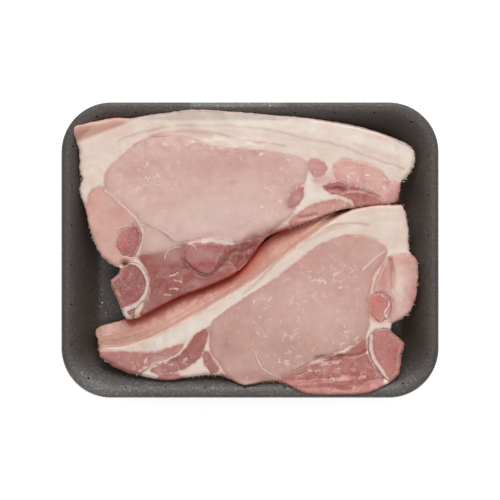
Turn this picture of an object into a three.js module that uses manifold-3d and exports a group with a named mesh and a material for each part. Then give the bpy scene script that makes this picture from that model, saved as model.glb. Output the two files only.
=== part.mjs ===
// A supermarket meat tray: a rectangular foam tray with rounded corners that holds two raw,
// thick-cut, bone-in pork loin chops. Both chops lie with their rind towards +Y, the lower one
// shingled against the upper one, and where they reach the wall they ride up on it.
//
// Units are millimetres. +X runs along the tray's long side, +Y along its short side, +Z up.
// The origin is the centre of the tray's flat underside.
//
// Every tissue that shows on a chop's cut face (each muscle, the bones, the fat) runs right through
// the slab, so each is a solid of its own: the slab's body is cut by upright prisms of the tissues'
// outlines, and the fat is what is left round them.

import * as THREE from "three";
import { mergeVertices } from "three/addons/utils/BufferGeometryUtils.js";
import Module from "manifold-3d";

const wasm = await Module();
wasm.setup();

// ---- Driving dimensions ----------------------------------------------------------------------

const TRAY = {
  length: 235,
  width: 184,
  height: 26,
  foam: 4, // thickness of the foam everywhere
  corner: 31, // plan radius of the rim's corners
  lip: 3.6, // flat top of the rim, outer rounding included
  wallRun: 20.4, // plan distance from the lip's inner edge to the flat floor
  cornerShrink: 0.62, // how fast the corner radius falls as the wall goes in
};
const GAP = 0.3; // clearance between neighbouring solids
const WALL = 1.5; // least distance between two muscles, with a sheet of fat in it
const CHOP_TOP = 24.5; // usual height of the cut face above the table
const COVER = 4.2; // least thickness of meat where it rides up the wall
const EDGE_ROUND = 1.8; // rounding of the slab's top edge
const SPLINE_STEP = 4.6; // spacing of points along an outline
const RELIEF_CELL = 12; // cell of the grid that carries the cut face's swells
const ABOVE = 48; // a height above all the meat
const BELOW = -6; // a height below the tray

const COLOURS = {
  foam: 0x3b3835,
  fat: 0xe6d3c4,
  loin: 0xd3aa9d,
  spine: 0xd2a595,
  tenderloin: 0xa5655f,
  belly: 0xbd827a,
  bone: 0xa8605a,
};

// ---- The two chops ---------------------------------------------------------------------------
// An outline is a closed smooth curve through its points, seen from above. A point of a chop's own
// outline is [x, y, dx, dy]: its place on the cut face, and how far the slab's foot stands off from
// it where the rind leans. A tissue's outline may run past the chop's edge, which trims it. Earlier
// tissues keep their shape, and later ones leave a sheet of fat round them. A swell is
// [x, y, reach, rise] on the cut face.

const UPPER = {
  outline: [
    [-109.4, 75.8], [-103, 78.4], [-90, 81.5], [-82, 82.2], [-75, 81.9], [-67, 83.2],
    [-53, 85], [-37, 87], [-12, 86], [12, 84],
    [37, 82], [62, 78], [81, 73], [100, 65], [102, 62], [103, 56], [99, 47], [94, 42], [93, 31],
    [75, 28], [56, 25], [39, 19], [22, 13], [10, 8], [4, 0], [-6, -12], [-25, -22], [-44, -29],
    [-62, -38], [-73, -43], [-77, -43], [-82, -32], [-87, -19], [-82, -15], [-81, -11],
    [-87, -8], [-92, -4], [-97, 5], [-101, 18], [-103, 28], [-106, 36], [-104.5, 44],
    [-106, 53], [-106, 60], [-108, 68],
  ],
  swells: [
    [-20, 38, 42, 1.4],
    [-38, -16, 20, -2],
    [4, -8, 12, -5],
    [99, 48, 20, -2.5],
    [-90, 10, 24, 0.8],
  ],
  tissues: [
    ["upper_backbone", "bone", 0.4, [
      [-91, -17], [-82, -14], [-75, -8], [-68, -10], [-63, -20], [-65, -30], [-72, -37],
      [-74, -48], [-84, -44], [-90, -30],
    ]],
    ["upper_process", "bone", 0.2, [
      [-77, 14], [-72, 16], [-68, 12], [-69, 3], [-73, -4], [-79, -3], [-83, 3], [-81, 9],
    ]],
    ["upper_spine_lean", "spine", 0, [
      [-98, 38], [-91, 39], [-89, 34], [-80, 27], [-70, 19], [-67, 12], [-69, 0], [-73, -6],
      [-80, -8], [-90, -12], [-100, -2], [-108, 14], [-102, 25],
    ]],
    ["upper_flap", "tenderloin", 1.6, [
      [-41, -4], [-38, 3], [-28, 4], [-15, 2], [-17, -7], [-26, -15], [-35, -12],
    ]],
    ["upper_tenderloin", "tenderloin", -0.8, [
      [-70, -4], [-56, -2], [-44, 3], [-28, 5], [-11, 3], [8, 6], [12, 0], [0, -16],
      [-25, -30], [-52, -42], [-70, -52], [-64, -28], [-62, -18], [-66, -10],
    ]],
    ["upper_slip", "belly", 0.2, [[33, 40], [33, 34], [29, 28], [25, 26], [23, 29], [26, 36]]],
    ["upper_loin", "loin", 0, [
      [-90, 47], [-82, 56], [-68, 67], [-56, 70], [-37, 69], [-24, 63], [0, 62], [22, 59],
      [35, 55], [34, 44], [29, 27], [21, 18], [7, 8], [-9, 5], [-28, 8], [-45, 4],
      [-57, 13], [-68, 18], [-78, 28], [-89, 36],
    ]],
    ["upper_side_lean", "loin", -0.2, [
      [-70, 16], [-64, 17], [-56, 13], [-44, 5], [-48, 0], [-56, -4], [-66, -6], [-72, 0],
    ]],
    ["upper_belly_tip", "belly", 0.2, [[37, 56], [43, 56], [48, 51], [45, 46], [40, 46], [37, 51]]],
    ["upper_belly_outer", "belly", 0.3, [
      [52, 53], [58, 56], [71, 54], [81, 49], [87, 42], [96, 40], [100, 30], [88, 28],
      [79, 35], [66, 41], [55, 44],
    ]],
    ["upper_belly_inner", "belly", -0.4, [
      [45, 39], [55, 42], [66, 40], [78, 34], [88, 27], [80, 22], [68, 26], [62, 33], [53, 35],
    ]],
    ["upper_belly_strip", "belly", -0.6, [
      [24, 17], [36, 26], [47, 30], [58, 30], [64, 26], [60, 18], [42, 12], [28, 8],
    ]],
  ],
};

const LOWER = {
  outline: [
    [91, 28], [95, 28], [97, 23], [99, 10], [99, -1], [104, -6], [104, -25], [100, -38],
    [94, -43], [88, -46], [88, -51], [96, -58], [94, -66], [93, -77], [86, -83], [75, -88],
    [56, -89.5], [34, -88.5], [19, -82], [7, -82], [-3, -84], [-20, -78], [-37, -79],
    [-51, -81], [-75, -77], [-88, -71], [-94, -66, -1, 4], [-94, -61, -3, 11], [-81, -60, 0, 16],
    [-62, -54, 0, 17], [-43, -44, 0, 15], [-25, -34, 0, 12.5], [-6, -23, 0, 10.7],
    [6, -15, -1, 16.3], [18, -5, -3, 14.8], [34, 7, -3, 10], [52, 19, 0, 4], [64, 25, 0, 1],
    [80, 28],
  ],
  swells: [
    [30, -36, 44, 1.4],
    [-84, -68, 24, -3.5],
    [-30, -72, 14, -1],
    [88, -30, 16, 0.8],
    [92, 18, 16, -1.5],
  ],
  tissues: [
    ["lower_backbone", "bone", 0.4, [
      [75, -52], [82, -49], [89, -50], [100, -57], [99, -68], [97, -82], [87, -82], [80, -74],
      [74, -64],
    ]],
    ["lower_process", "bone", 0.2, [
      [75, -28], [81, -27], [86, -29], [88, -36], [86, -42], [81, -45], [76, -41], [74, -34],
    ]],
    ["lower_spine_lean", "spine", 0, [
      [87, -4], [93, -3], [101, -4], [109, -14], [108, -30], [102, -44], [92, -47],
      [87, -44], [80, -34], [77, -24], [81, -14],
    ]],
    ["lower_tenderloin", "tenderloin", -0.6, [
      [18, -82], [33, -74], [50, -68], [63, -62], [73, -55], [75, -66], [83, -80], [78, -92],
      [56, -96], [30, -94],
    ]],
    ["lower_loin", "loin", 0, [
      [-24, -46], [-6, -32], [16, -18], [44, 3], [62, 9], [76, 7], [85, -1], [77, -15],
      [74, -28], [74, -42], [72, -53], [59, -61], [42, -67], [31, -73], [18, -80], [8, -88],
      [-5, -88], [-17, -73], [-24, -63], [-25, -55],
    ]],
    ["lower_belly_outer", "belly", 0.2, [
      [-102, -65], [-78, -64], [-59, -64], [-42, -59], [-46, -65], [-56, -69], [-64, -74],
      [-78, -82], [-98, -74],
    ]],
    ["lower_belly_inner", "belly", 0, [
      [-26, -49], [-28, -57], [-30, -65], [-39, -73], [-51, -76], [-62, -76], [-55, -71],
      [-45, -66], [-37, -58], [-33, -52],
    ]],
    ["lower_belly_strip", "belly", -0.3, [[-57, -77], [-48, -77], [-41, -79], [-46, -84], [-58, -84]]],
    ["lower_belly_tip", "belly", 0, [
      [-29, -63], [-26, -63], [-23, -69], [-19, -75], [-24, -76], [-28, -71],
    ]],
  ],
};

// ---- Small helpers ---------------------------------------------------------------------------

const clamp01 = (t) => Math.min(1, Math.max(0, t));

// The larger of two heights, with a fillet of about `soft` where they meet.
function softMax(a, b, soft) {
  const t = clamp01(0.5 + (b - a) / (2 * soft));
  return a + (b - a) * t + soft * t * (1 - t);
}

function toSolid(geometry) {
  const bare = geometry.clone();
  bare.deleteAttribute("normal");
  bare.deleteAttribute("uv");
  const merged = mergeVertices(bare, 1e-4);
  return new wasm.Manifold(
    new wasm.Mesh({
      numProp: 3,
      vertProperties: merged.attributes.position.array,
      triVerts: new Uint32Array(merged.index.array),
    }),
  );
}

function toGeometry(solid) {
  const mesh = solid.getMesh();
  const geometry = new THREE.BufferGeometry();
  geometry.setAttribute("position", new THREE.BufferAttribute(mesh.vertProperties, 3));
  geometry.setIndex(new THREE.BufferAttribute(mesh.triVerts, 1));
  return geometry.toNonIndexed();
}

// A closed skin over rings of equal length, each a list of [x, y, z] anticlockwise from above,
// with a flat cap on the first ring (underneath) and on the last (on top).
function loft(rings) {
  const count = rings[0].length;
  const index = [];
  for (let r = 0; r + 1 < rings.length; r++) {
    for (let i = 0; i < count; i++) {
      const next = (i + 1) % count;
      const [a, b] = [r * count + i, r * count + next];
      index.push(a, b, b + count, a, b + count, a + count);
    }
  }
  const cap = (ring) =>
    THREE.ShapeUtils.triangulateShape(ring.map(([x, y]) => new THREE.Vector2(x, y)), []);
  for (const [a, b, c] of cap(rings[0])) index.push(a, c, b);
  const last = (rings.length - 1) * count;
  for (const [a, b, c] of cap(rings.at(-1))) index.push(last + a, last + b, last + c);
  const geometry = new THREE.BufferGeometry();
  geometry.setAttribute("position", new THREE.Float32BufferAttribute(rings.flat(2), 3));
  geometry.setIndex(index);
  return toSolid(geometry);
}

// The closed curve through an outline's points as [x, y], anticlockwise, and beside it the curve of
// the foot under it, point for point.
function smoothOutlines(points) {
  const curve = (place) =>
    new THREE.CatmullRomCurve3(
      points.map((point) => new THREE.Vector3(...place(point), 0)),
      true,
    );
  const face = curve(([x, y]) => [x, y]);
  const foot = curve(([x, y, dx = 0, dy = 0]) => [x + dx, y + dy]);
  const times = points.flatMap(([x, y], i) => {
    const [nx, ny] = points[(i + 1) % points.length];
    const steps = Math.max(1, Math.round(Math.hypot(nx - x, ny - y) / SPLINE_STEP));
    return Array.from({ length: steps }, (_, k) => (i + k / steps) / points.length);
  });
  const sample = (line) => times.map((t) => line.getPoint(t));
  const clockwise = THREE.ShapeUtils.isClockWise(sample(face));
  return [face, foot].map((line) => {
    const ring = sample(line).map((p) => [p.x, p.y]);
    return clockwise ? ring.reverse() : ring;
  });
}

const smoothOutline = (points) => smoothOutlines(points)[0];

// An outline moved inwards by `distance`, less at sharp corners, or outwards if it is negative.
function inset(outline, distance) {
  const count = outline.length;
  return outline.map(([x, y], i) => {
    const [ax, ay] = outline[(i + count - 1) % count];
    const [bx, by] = outline[(i + 1) % count];
    const before = new THREE.Vector2(x - ax, y - ay).normalize();
    const after = new THREE.Vector2(bx - x, by - y).normalize();
    const along = before.clone().add(after).normalize();
    const reach = distance > 0 ? distance * Math.max(0.3, before.dot(after)) : distance;
    return [x - along.y * reach, y + along.x * reach];
  });
}

const raised = (outline, z) => outline.map(([x, y]) => [x, y, z]);

// An upright prism through everything.
function prism(outline) {
  return loft([raised(outline, BELOW), raised(outline, ABOVE)]);
}

// ---- The tray --------------------------------------------------------------------------------

// Height of the tray's upper surface at a plan distance in from the rim's outer edge.
function trayTop(inward) {
  const t = clamp01((inward - TRAY.lip) / TRAY.wallRun);
  return TRAY.foam + (TRAY.height - TRAY.foam) * (0.5 + 0.5 * Math.cos(Math.PI * t));
}

// Plan distance in from the rim's outer edge.
function inwardOf(x, y) {
  const dx = Math.abs(x) - (TRAY.length / 2 - TRAY.corner);
  const dy = Math.abs(y) - (TRAY.width / 2 - TRAY.corner);
  const outside = Math.hypot(Math.max(dx, 0), Math.max(dy, 0));
  return TRAY.corner - outside - Math.min(Math.max(dx, dy), 0);
}

// A rounded rectangle `inward` of the rim's edge, as [x, y].
function rimLine(inward) {
  const steps = 7;
  const radius = Math.max(4, TRAY.corner - TRAY.cornerShrink * inward);
  const [cx, cy] = [TRAY.length / 2 - inward - radius, TRAY.width / 2 - inward - radius];
  const centres = [[cx, cy], [-cx, cy], [-cx, -cy], [cx, -cy]];
  return centres.flatMap(([x, y], quarter) =>
    Array.from({ length: steps + 1 }, (_, i) => {
      const angle = (Math.PI / 2) * (quarter + i / steps);
      return [x + radius * Math.cos(angle), y + radius * Math.sin(angle)];
    }),
  );
}

// The wall's S-curve from lip to floor as [inward, z], moved `away` along its own normal.
function wallCurve(away) {
  const steps = 8;
  return Array.from({ length: steps + 1 }, (_, i) => {
    const inward = TRAY.lip + (TRAY.wallRun * i) / steps;
    const slope = (trayTop(inward + 0.01) - trayTop(inward - 0.01)) / 0.02;
    const length = Math.hypot(1, slope);
    return [inward - (away * slope) / length, trayTop(inward) + away / length];
  });
}

function makeTray() {
  const nose = TRAY.foam / 2; // the rim's outer edge is a half round
  const noseSteps = 6;
  const rim = Array.from({ length: noseSteps + 1 }, (_, i) => {
    const angle = -Math.PI / 2 + (Math.PI * i) / noseSteps;
    return [nose - nose * Math.cos(angle), TRAY.height - nose + nose * Math.sin(angle)];
  });
  const section = [...wallCurve(-TRAY.foam).reverse(), ...rim, ...wallCurve(0)];
  return loft(section.map(([inward, z]) => raised(rimLine(inward), z)));
}

// All the space above the tray, the rim included, `GAP` clear of its surface.
function makeSpaceAboveTray() {
  const beyond = 3;
  const section = [
    ...wallCurve(GAP).reverse(),
    [-beyond, TRAY.height + GAP],
    [-beyond, ABOVE],
  ];
  return loft(section.map(([inward, z]) => raised(rimLine(inward), z)));
}

// ---- The chops -------------------------------------------------------------------------------

// The cut face's height: a plane with swells, and never thinner than COVER over the tray.
function faceHeight(chop, x, y) {
  const swell = chop.swells.reduce((sum, [cx, cy, reach, rise]) => {
    const far = ((x - cx) ** 2 + (y - cy) ** 2) / reach ** 2;
    return sum + rise * Math.exp(-far);
  }, 0);
  return softMax(CHOP_TOP + swell, trayTop(inwardOf(x, y)) + COVER, 2.5);
}

// Everything under the chop's cut face moved up by `lift`, as a block with a wavy top.
function underFace(chop, lift) {
  const [nx, ny] = [TRAY.length, TRAY.width].map((side) => Math.ceil(side / RELIEF_CELL));
  const points = [];
  const index = [];
  for (const top of [false, true]) {
    for (let j = 0; j <= ny; j++) {
      for (let i = 0; i <= nx; i++) {
        const x = TRAY.length * (i / nx - 0.5);
        const y = TRAY.width * (j / ny - 0.5);
        points.push(x, y, top ? faceHeight(chop, x, y) + lift : BELOW);
      }
    }
  }
  const row = nx + 1;
  const layer = row * (ny + 1);
  const quad = (a, b, c, d) => index.push(a, b, c, a, c, d);
  for (let j = 0; j < ny; j++) {
    for (let i = 0; i < nx; i++) {
      const a = j * row + i;
      quad(a, a + row, a + row + 1, a + 1);
      quad(layer + a, layer + a + 1, layer + a + row + 1, layer + a + row);
    }
  }
  const rim = [
    ...Array.from({ length: nx }, (_, i) => i),
    ...Array.from({ length: ny }, (_, j) => j * row + nx),
    ...Array.from({ length: nx }, (_, i) => ny * row + nx - i),
    ...Array.from({ length: ny }, (_, j) => (ny - j) * row),
  ];
  rim.forEach((a, i) => {
    const b = rim[(i + 1) % rim.length];
    quad(a, b, b + layer, a + layer);
  });
  const geometry = new THREE.BufferGeometry();
  geometry.setAttribute("position", new THREE.Float32BufferAttribute(points, 3));
  geometry.setIndex(index);
  return toSolid(geometry);
}

// The slab as a loft from its foot on the floor to a rounded top edge, and on up past the face.
// `grow` moves its sides and its face outwards.
function chopBody(chop, grow = 0) {
  const [face, foot] = smoothOutlines(chop.outline).map((ring) => inset(ring, -grow));
  const middle = foot.map(([x, y], i) => [(x + face[i][0]) / 2, (y + face[i][1]) / 2]);
  const under = (outline, drop) =>
    outline.map(([x, y]) => [x, y, faceHeight(chop, x, y) + grow - drop]);
  const floor = TRAY.foam + GAP;
  return loft([
    raised(inset(foot, EDGE_ROUND), floor),
    raised(foot, floor + EDGE_ROUND),
    raised(middle, (floor + CHOP_TOP) / 2),
    under(face, EDGE_ROUND),
    under(inset(face, EDGE_ROUND * 0.3), EDGE_ROUND * 0.3),
    under(inset(face, EDGE_ROUND), 0),
    raised(inset(face, EDGE_ROUND), ABOVE),
  ]);
}

// The chop's solids as [name, tissue, solid]: its muscles and bones in order, then the fat.
function cutChop(chop, name, space) {
  const body = chopBody(chop).intersect(space);
  const made = [];
  const pockets = [];
  const shields = []; // earlier tissues, grown by what later ones must keep clear of them
  for (const [node, tissue, lift, points] of chop.tissues) {
    const outline = smoothOutline(points);
    let piece = prism(outline).intersect(body).intersect(underFace(chop, lift));
    let pocket = prism(inset(outline, -GAP));
    for (const earlier of shields) {
      piece = piece.subtract(prism(inset(earlier, -WALL)));
      pocket = pocket.subtract(prism(inset(earlier, -(WALL - GAP))));
    }
    shields.push(outline);
    pockets.push(pocket);
    made.push([node, tissue, largest(piece)]);
  }
  const slab = body.intersect(underFace(chop, 0));
  const fat = pockets.reduce((rest, pocket) => rest.subtract(pocket), slab);
  made.push([`${name}_fat`, "fat", largest(fat)]);
  return made;
}

function largest(solid) {
  return solid.decompose().sort((a, b) => b.volume() - a.volume())[0];
}

// ---- Assembly --------------------------------------------------------------------------------

function makeMaterial(tissue) {
  const wet = tissue !== "foam" && tissue !== "fat";
  return new THREE.MeshStandardMaterial({
    color: COLOURS[tissue],
    roughness: wet ? 0.35 : 0.55,
    metalness: 0,
  });
}

function makePack() {
  const pack = new THREE.Group();
  const add = (name, tissue, solid) => {
    const mesh = new THREE.Mesh(toGeometry(solid), makeMaterial(tissue));
    mesh.name = name;
    pack.add(mesh);
  };
  add("tray", "foam", makeTray());

  const space = makeSpaceAboveTray();
  for (const piece of cutChop(LOWER, "lower", space)) add(...piece);
  const besideLower = space.subtract(chopBody(LOWER, GAP));
  for (const piece of cutChop(UPPER, "upper", besideLower)) add(...piece);
  return pack;
}

export default makePack();
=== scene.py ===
# %% [markdown]
# # A tray of pork chops
# A dark foam tray holds two raw, bone-in pork loin chops. The tray is a hard, regular shape that
# follows a rule, so a geometry-nodes tree sweeps its cross-section. The meat is soft and irregular:
# its solids come from the CAD model, are fused into one skin for each chop, and that skin is then
# pushed into muscles, seams and ragged edges, and coloured by how far each point is from them.

import math

import bmesh
import bpy
import numpy as np
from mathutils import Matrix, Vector, noise


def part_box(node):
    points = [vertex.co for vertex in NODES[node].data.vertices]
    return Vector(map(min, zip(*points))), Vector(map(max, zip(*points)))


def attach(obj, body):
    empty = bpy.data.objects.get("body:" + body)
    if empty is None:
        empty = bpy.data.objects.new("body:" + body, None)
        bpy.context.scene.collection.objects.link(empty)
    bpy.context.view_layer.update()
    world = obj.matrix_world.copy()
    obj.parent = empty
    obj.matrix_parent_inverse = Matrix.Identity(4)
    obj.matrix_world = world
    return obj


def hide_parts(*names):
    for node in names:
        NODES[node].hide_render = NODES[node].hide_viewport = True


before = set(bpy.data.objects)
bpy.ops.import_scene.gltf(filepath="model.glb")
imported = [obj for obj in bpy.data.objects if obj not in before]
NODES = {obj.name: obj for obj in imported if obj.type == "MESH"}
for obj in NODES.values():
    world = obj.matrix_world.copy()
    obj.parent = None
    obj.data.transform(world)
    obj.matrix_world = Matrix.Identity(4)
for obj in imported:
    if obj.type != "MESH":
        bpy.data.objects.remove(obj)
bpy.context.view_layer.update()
MM = 0.001


# %% [markdown]
# ## Small tools
# Every tree below, for shapes and for finishes, is built with the same few calls: add a node, feed
# its sockets with numbers or with other nodes, and do sums.

# %% A helper that builds node trees
class Graph:
    """Adds nodes to one tree. A socket is fed with a value or with another node's output."""

    def __init__(self, tree):
        self.tree = tree

    def feed(self, socket, value):
        if isinstance(value, bpy.types.NodeSocket):
            self.tree.links.new(value, socket)
        else:
            socket.default_value = value

    def node(self, kind, inputs=None, **settings):
        node = self.tree.nodes.new(kind)
        for name, value in settings.items():
            setattr(node, name, value)
        for name, value in (inputs or {}).items():
            self.feed(node.inputs[name], value)
        return node

    def math(self, operation, *values):
        node = self.node("ShaderNodeMath", operation=operation)
        for socket, value in zip(node.inputs, values):
            self.feed(socket, value)
        return node.outputs[0]

    def blend(self, factor, a, b, mode="MIX"):
        node = self.node("ShaderNodeMix", data_type="RGBA", blend_type=mode)
        colour_sockets = [s for s in node.inputs if s.type == "RGBA"]
        self.feed(node.inputs[0], factor)
        self.feed(colour_sockets[0], a)
        self.feed(colour_sockets[1], b)
        return next(s for s in node.outputs if s.type == "RGBA")

    def chance(self, low, high, seed):
        """A random number between low and high at each point."""
        node = self.node("FunctionNodeRandomValue", data_type="FLOAT")
        for name, value in (("Min", low), ("Max", high), ("Seed", seed)):
            self.feed(next(s for s in node.inputs if s.name == name and s.enabled), value)
        return next(s for s in node.outputs if s.enabled)

    def ramp(self, value, low, high):
        """0 below low, 1 above high, and smooth between."""
        node = self.node("ShaderNodeMapRange", interpolation_type="SMOOTHSTEP")
        self.feed(node.inputs["Value"], value)
        self.feed(node.inputs["From Min"], low)
        self.feed(node.inputs["From Max"], high)
        return node.outputs["Result"]


def shown(red, green, blue):
    """A colour as it looks on a screen, 0 to 255, as the linear colour that shaders use."""
    parts = [c / 255 for c in (red, green, blue)]
    linear = [c / 12.92 if c <= 0.04045 else ((c + 0.055) / 1.055) ** 2.4 for c in parts]
    return (*linear, 1.0)


# %% Helpers for meshes
def make_object(name, mesh):
    obj = bpy.data.objects.new(name, mesh)
    bpy.context.scene.collection.objects.link(obj)
    return obj


def baked(obj, name):
    """The object with its modifiers applied, as a new plain object. The old one is removed."""
    graph = bpy.context.evaluated_depsgraph_get()
    mesh = bpy.data.meshes.new_from_object(obj.evaluated_get(graph))
    bpy.data.objects.remove(obj)
    mesh.name = name
    return make_object(name, mesh)


def vertex_array(mesh, what="co"):
    values = np.zeros(len(mesh.vertices) * 3, np.float32)
    mesh.vertices.foreach_get(what, values)
    return values.reshape(-1, 3).astype(float)


def move_vertices(mesh, places):
    mesh.vertices.foreach_set("co", places.astype(np.float32).ravel())
    mesh.update()


def finish_piece(obj, material, nodes):
    """Gives a piece its material, smooth shading and its ties to the frame."""
    obj.data.materials.clear()
    obj.data.materials.append(material)
    obj.data.polygons.foreach_set("use_smooth", [True] * len(obj.data.polygons))
    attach(obj, "root")
    if nodes:
        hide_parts(*nodes)
    triangles = sum(len(p.vertices) - 2 for p in obj.data.polygons)
    print(obj.name, "has", triangles, "triangles")


# %% Smooth random values
def wobble(places, size, seed):
    """Smooth noise from about -1 to 1 at each place, with bumps of the given size."""
    shift = Vector((seed * 7.31, seed * 3.17, seed * 5.53))
    return np.array([noise.noise(Vector(p) / size + shift) for p in places])


# %% [markdown]
# ## The tray
# Foam trays are pressed from one sheet: a flat floor, S-curved walls and a rim rolled outwards. In
# plan each level is a rounded rectangle, and the corners tighten less than the sides close in. The
# section is drawn once as a curve. A tree then walks round the rounded rectangle and samples the
# section at every step, so one drawing gives the whole tray, inside and outside.

# %% The tray's sizes
tray_low, tray_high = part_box("tray")
TRAY_LENGTH = (tray_high.x - tray_low.x) / MM
TRAY_WIDTH = (tray_high.y - tray_low.y) / MM
TRAY_HEIGHT = (tray_high.z - tray_low.z) / MM
FOAM = 4.0
CORNER = 31.0
CORNER_SHRINK = 0.62
TIGHTEST_CORNER = 4.0
LIP = 3.6
WALL_RUN = 20.4
ARC_SHARE = 0.4
WELD_DISTANCE = 0.05
print("tray in mm:", round(TRAY_LENGTH), round(TRAY_WIDTH), round(TRAY_HEIGHT))


# %% The cross-section as a curve
def inner_height(inward):
    """Height of the tray's inner surface at a distance in from the rim's edge."""
    t = min(1.0, max(0.0, (inward - LIP) / WALL_RUN))
    return FOAM + (TRAY_HEIGHT - FOAM) * (0.5 + 0.5 * math.cos(math.pi * t))


def wall_curve(away, steps=24):
    """The wall from lip to floor as (inward, height), moved along its normal by `away`."""
    points = []
    for i in range(steps + 1):
        inward = LIP + WALL_RUN * i / steps
        slope = (inner_height(inward + 0.01) - inner_height(inward - 0.01)) / 0.02
        length = math.hypot(1, slope)
        points.append((inward - away * slope / length, inner_height(inward) + away / length))
    return points


def section_points():
    nose = FOAM / 2
    arcs = [-math.pi / 2 + math.pi * i / 10 for i in range(11)]
    rim = [(nose - nose * math.cos(a), TRAY_HEIGHT - nose + nose * math.sin(a)) for a in arcs]
    middle = TRAY_WIDTH / 2
    underside = [(middle, 0.0), (middle * 0.6, 0.0)]
    floor = [(middle * 0.6, FOAM), (middle, FOAM)]
    return underside + wall_curve(-FOAM)[::-1] + rim + wall_curve(0.0) + floor


def section_curve():
    curve = bpy.data.curves.new("Tray_Section", "CURVE")
    curve.dimensions = "3D"
    points = section_points()
    spline = curve.splines.new("POLY")
    spline.points.add(len(points) - 1)
    for point, (inward, height) in zip(spline.points, points):
        point.co = (inward * MM, height * MM, 0, 1)
    return make_object("Tray_Section", curve)


# %% A helper for geometry-nodes trees
def geometry_tree(name, inputs):
    """A new tree with named inputs, given as (name, socket type, value)."""
    tree = bpy.data.node_groups.new(name, "GeometryNodeTree")
    tree.interface.new_socket("Geometry", in_out="OUTPUT", socket_type="NodeSocketGeometry")
    for label, kind, value in inputs:
        socket = tree.interface.new_socket(label, in_out="INPUT", socket_type=kind)
        if value is not None:
            socket.default_value = value
    graph = Graph(tree)
    entry = graph.node("NodeGroupInput")
    return tree, graph, entry


def end_tree(graph, geometry, material):
    """Makes the instances real, gives them the material and ends the tree."""
    realized = graph.node("GeometryNodeRealizeInstances", {"Geometry": geometry})
    painted = graph.node("GeometryNodeSetMaterial", {"Geometry": realized.outputs[0]})
    painted.inputs["Material"].default_value = material
    out = graph.node("NodeGroupOutput")
    graph.feed(out.inputs[0], painted.outputs[0])


def run_tree(tree, name, values):
    """Runs a tree on an empty mesh with its inputs set by name, and returns a plain object."""
    obj = make_object(name, bpy.data.meshes.new(name))
    modifier = obj.modifiers.new(name, "NODES")
    modifier.node_group = tree
    for item in tree.interface.items_tree:
        if item.item_type == "SOCKET" and item.in_out == "INPUT" and item.name in values:
            modifier[item.identifier] = values[item.name]
    return baked(obj, name)


# %% The tree that walks the section round the rim
def tray_tree(material):
    inputs = [
        ("Section", "NodeSocketObject", None),
        ("Length", "NodeSocketFloat", TRAY_LENGTH * MM),
        ("Width", "NodeSocketFloat", TRAY_WIDTH * MM),
        ("Corner", "NodeSocketFloat", CORNER * MM),
        ("Corner Shrink", "NodeSocketFloat", CORNER_SHRINK),
        ("Steps Round", "NodeSocketInt", 321),
        ("Steps Across", "NodeSocketInt", 121),
    ]
    tree, g, entry = geometry_tree("Swept_Tray", inputs)
    value = entry.outputs
    grid = g.node(
        "GeometryNodeMeshGrid",
        {"Vertices X": value["Steps Round"], "Vertices Y": value["Steps Across"]},
    )
    index = g.node("GeometryNodeInputIndex").outputs[0]
    around_index = g.math("FLOOR", g.math("DIVIDE", index, value["Steps Across"]))
    across_index = g.math("SUBTRACT", index, g.math("MULTIPLY", around_index, value["Steps Across"]))
    around = g.math("DIVIDE", around_index, g.math("SUBTRACT", value["Steps Round"], 1))
    across = g.math("DIVIDE", across_index, g.math("SUBTRACT", value["Steps Across"], 1))

    section = g.node("GeometryNodeObjectInfo", {"Object": value["Section"]})
    sample = g.node("GeometryNodeSampleCurve", mode="FACTOR")
    g.feed(sample.inputs["Curves"], section.outputs["Geometry"])
    g.feed(sample.inputs["Factor"], across)
    point = g.node("ShaderNodeSeparateXYZ", {"Vector": sample.outputs["Position"]})
    inward, height = point.outputs["X"], point.outputs["Y"]

    half_length = g.math("MULTIPLY", value["Length"], 0.5)
    half_width = g.math("MULTIPLY", value["Width"], 0.5)
    shrunk = g.math("SUBTRACT", value["Corner"], g.math("MULTIPLY", inward, value["Corner Shrink"]))
    room = g.math("SUBTRACT", half_width, inward)
    tightest = g.math("MAXIMUM", shrunk, TIGHTEST_CORNER * MM)
    radius = g.math("MAXIMUM", g.math("MINIMUM", tightest, room), 0.0)

    turn = g.math("MULTIPLY", around, 4.0)
    quarter = g.math("FLOOR", turn)
    part = g.math("SUBTRACT", turn, quarter)
    arc = g.math("MINIMUM", g.math("DIVIDE", part, ARC_SHARE), 1.0)
    straight = g.math("SUBTRACT", part, ARC_SHARE)
    straight = g.math("MAXIMUM", g.math("DIVIDE", straight, 1 - ARC_SHARE), 0.0)
    angle = g.math("MULTIPLY", g.math("ADD", quarter, arc), math.pi / 2)

    def side(axis, shift):
        """-1 or 1: which side the corner `shift` quarters on lies."""
        diagonal = g.math("MULTIPLY", g.math("ADD", quarter, 0.5 + shift), math.pi / 2)
        return g.math("SIGN", g.math(axis, diagonal))

    def coordinate(axis, half):
        centre = g.math("SUBTRACT", g.math("SUBTRACT", half, inward), radius)
        step = g.math("SUBTRACT", side(axis, 1), side(axis, 0))
        along = g.math("ADD", side(axis, 0), g.math("MULTIPLY", step, straight))
        middle = g.math("MULTIPLY", centre, along)
        return g.math("ADD", middle, g.math("MULTIPLY", radius, g.math(axis, angle)))

    place = g.node(
        "ShaderNodeCombineXYZ",
        {"X": coordinate("COSINE", half_length), "Y": coordinate("SINE", half_width), "Z": height},
    )
    moved = g.node("GeometryNodeSetPosition", {"Geometry": grid.outputs["Mesh"]})
    g.feed(moved.inputs["Position"], place.outputs[0])
    merged = g.node("GeometryNodeMergeByDistance", {"Geometry": moved.outputs[0]})
    g.feed(merged.inputs["Distance"], WELD_DISTANCE * MM)
    end_tree(g, merged.outputs[0], material)
    return tree
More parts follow.
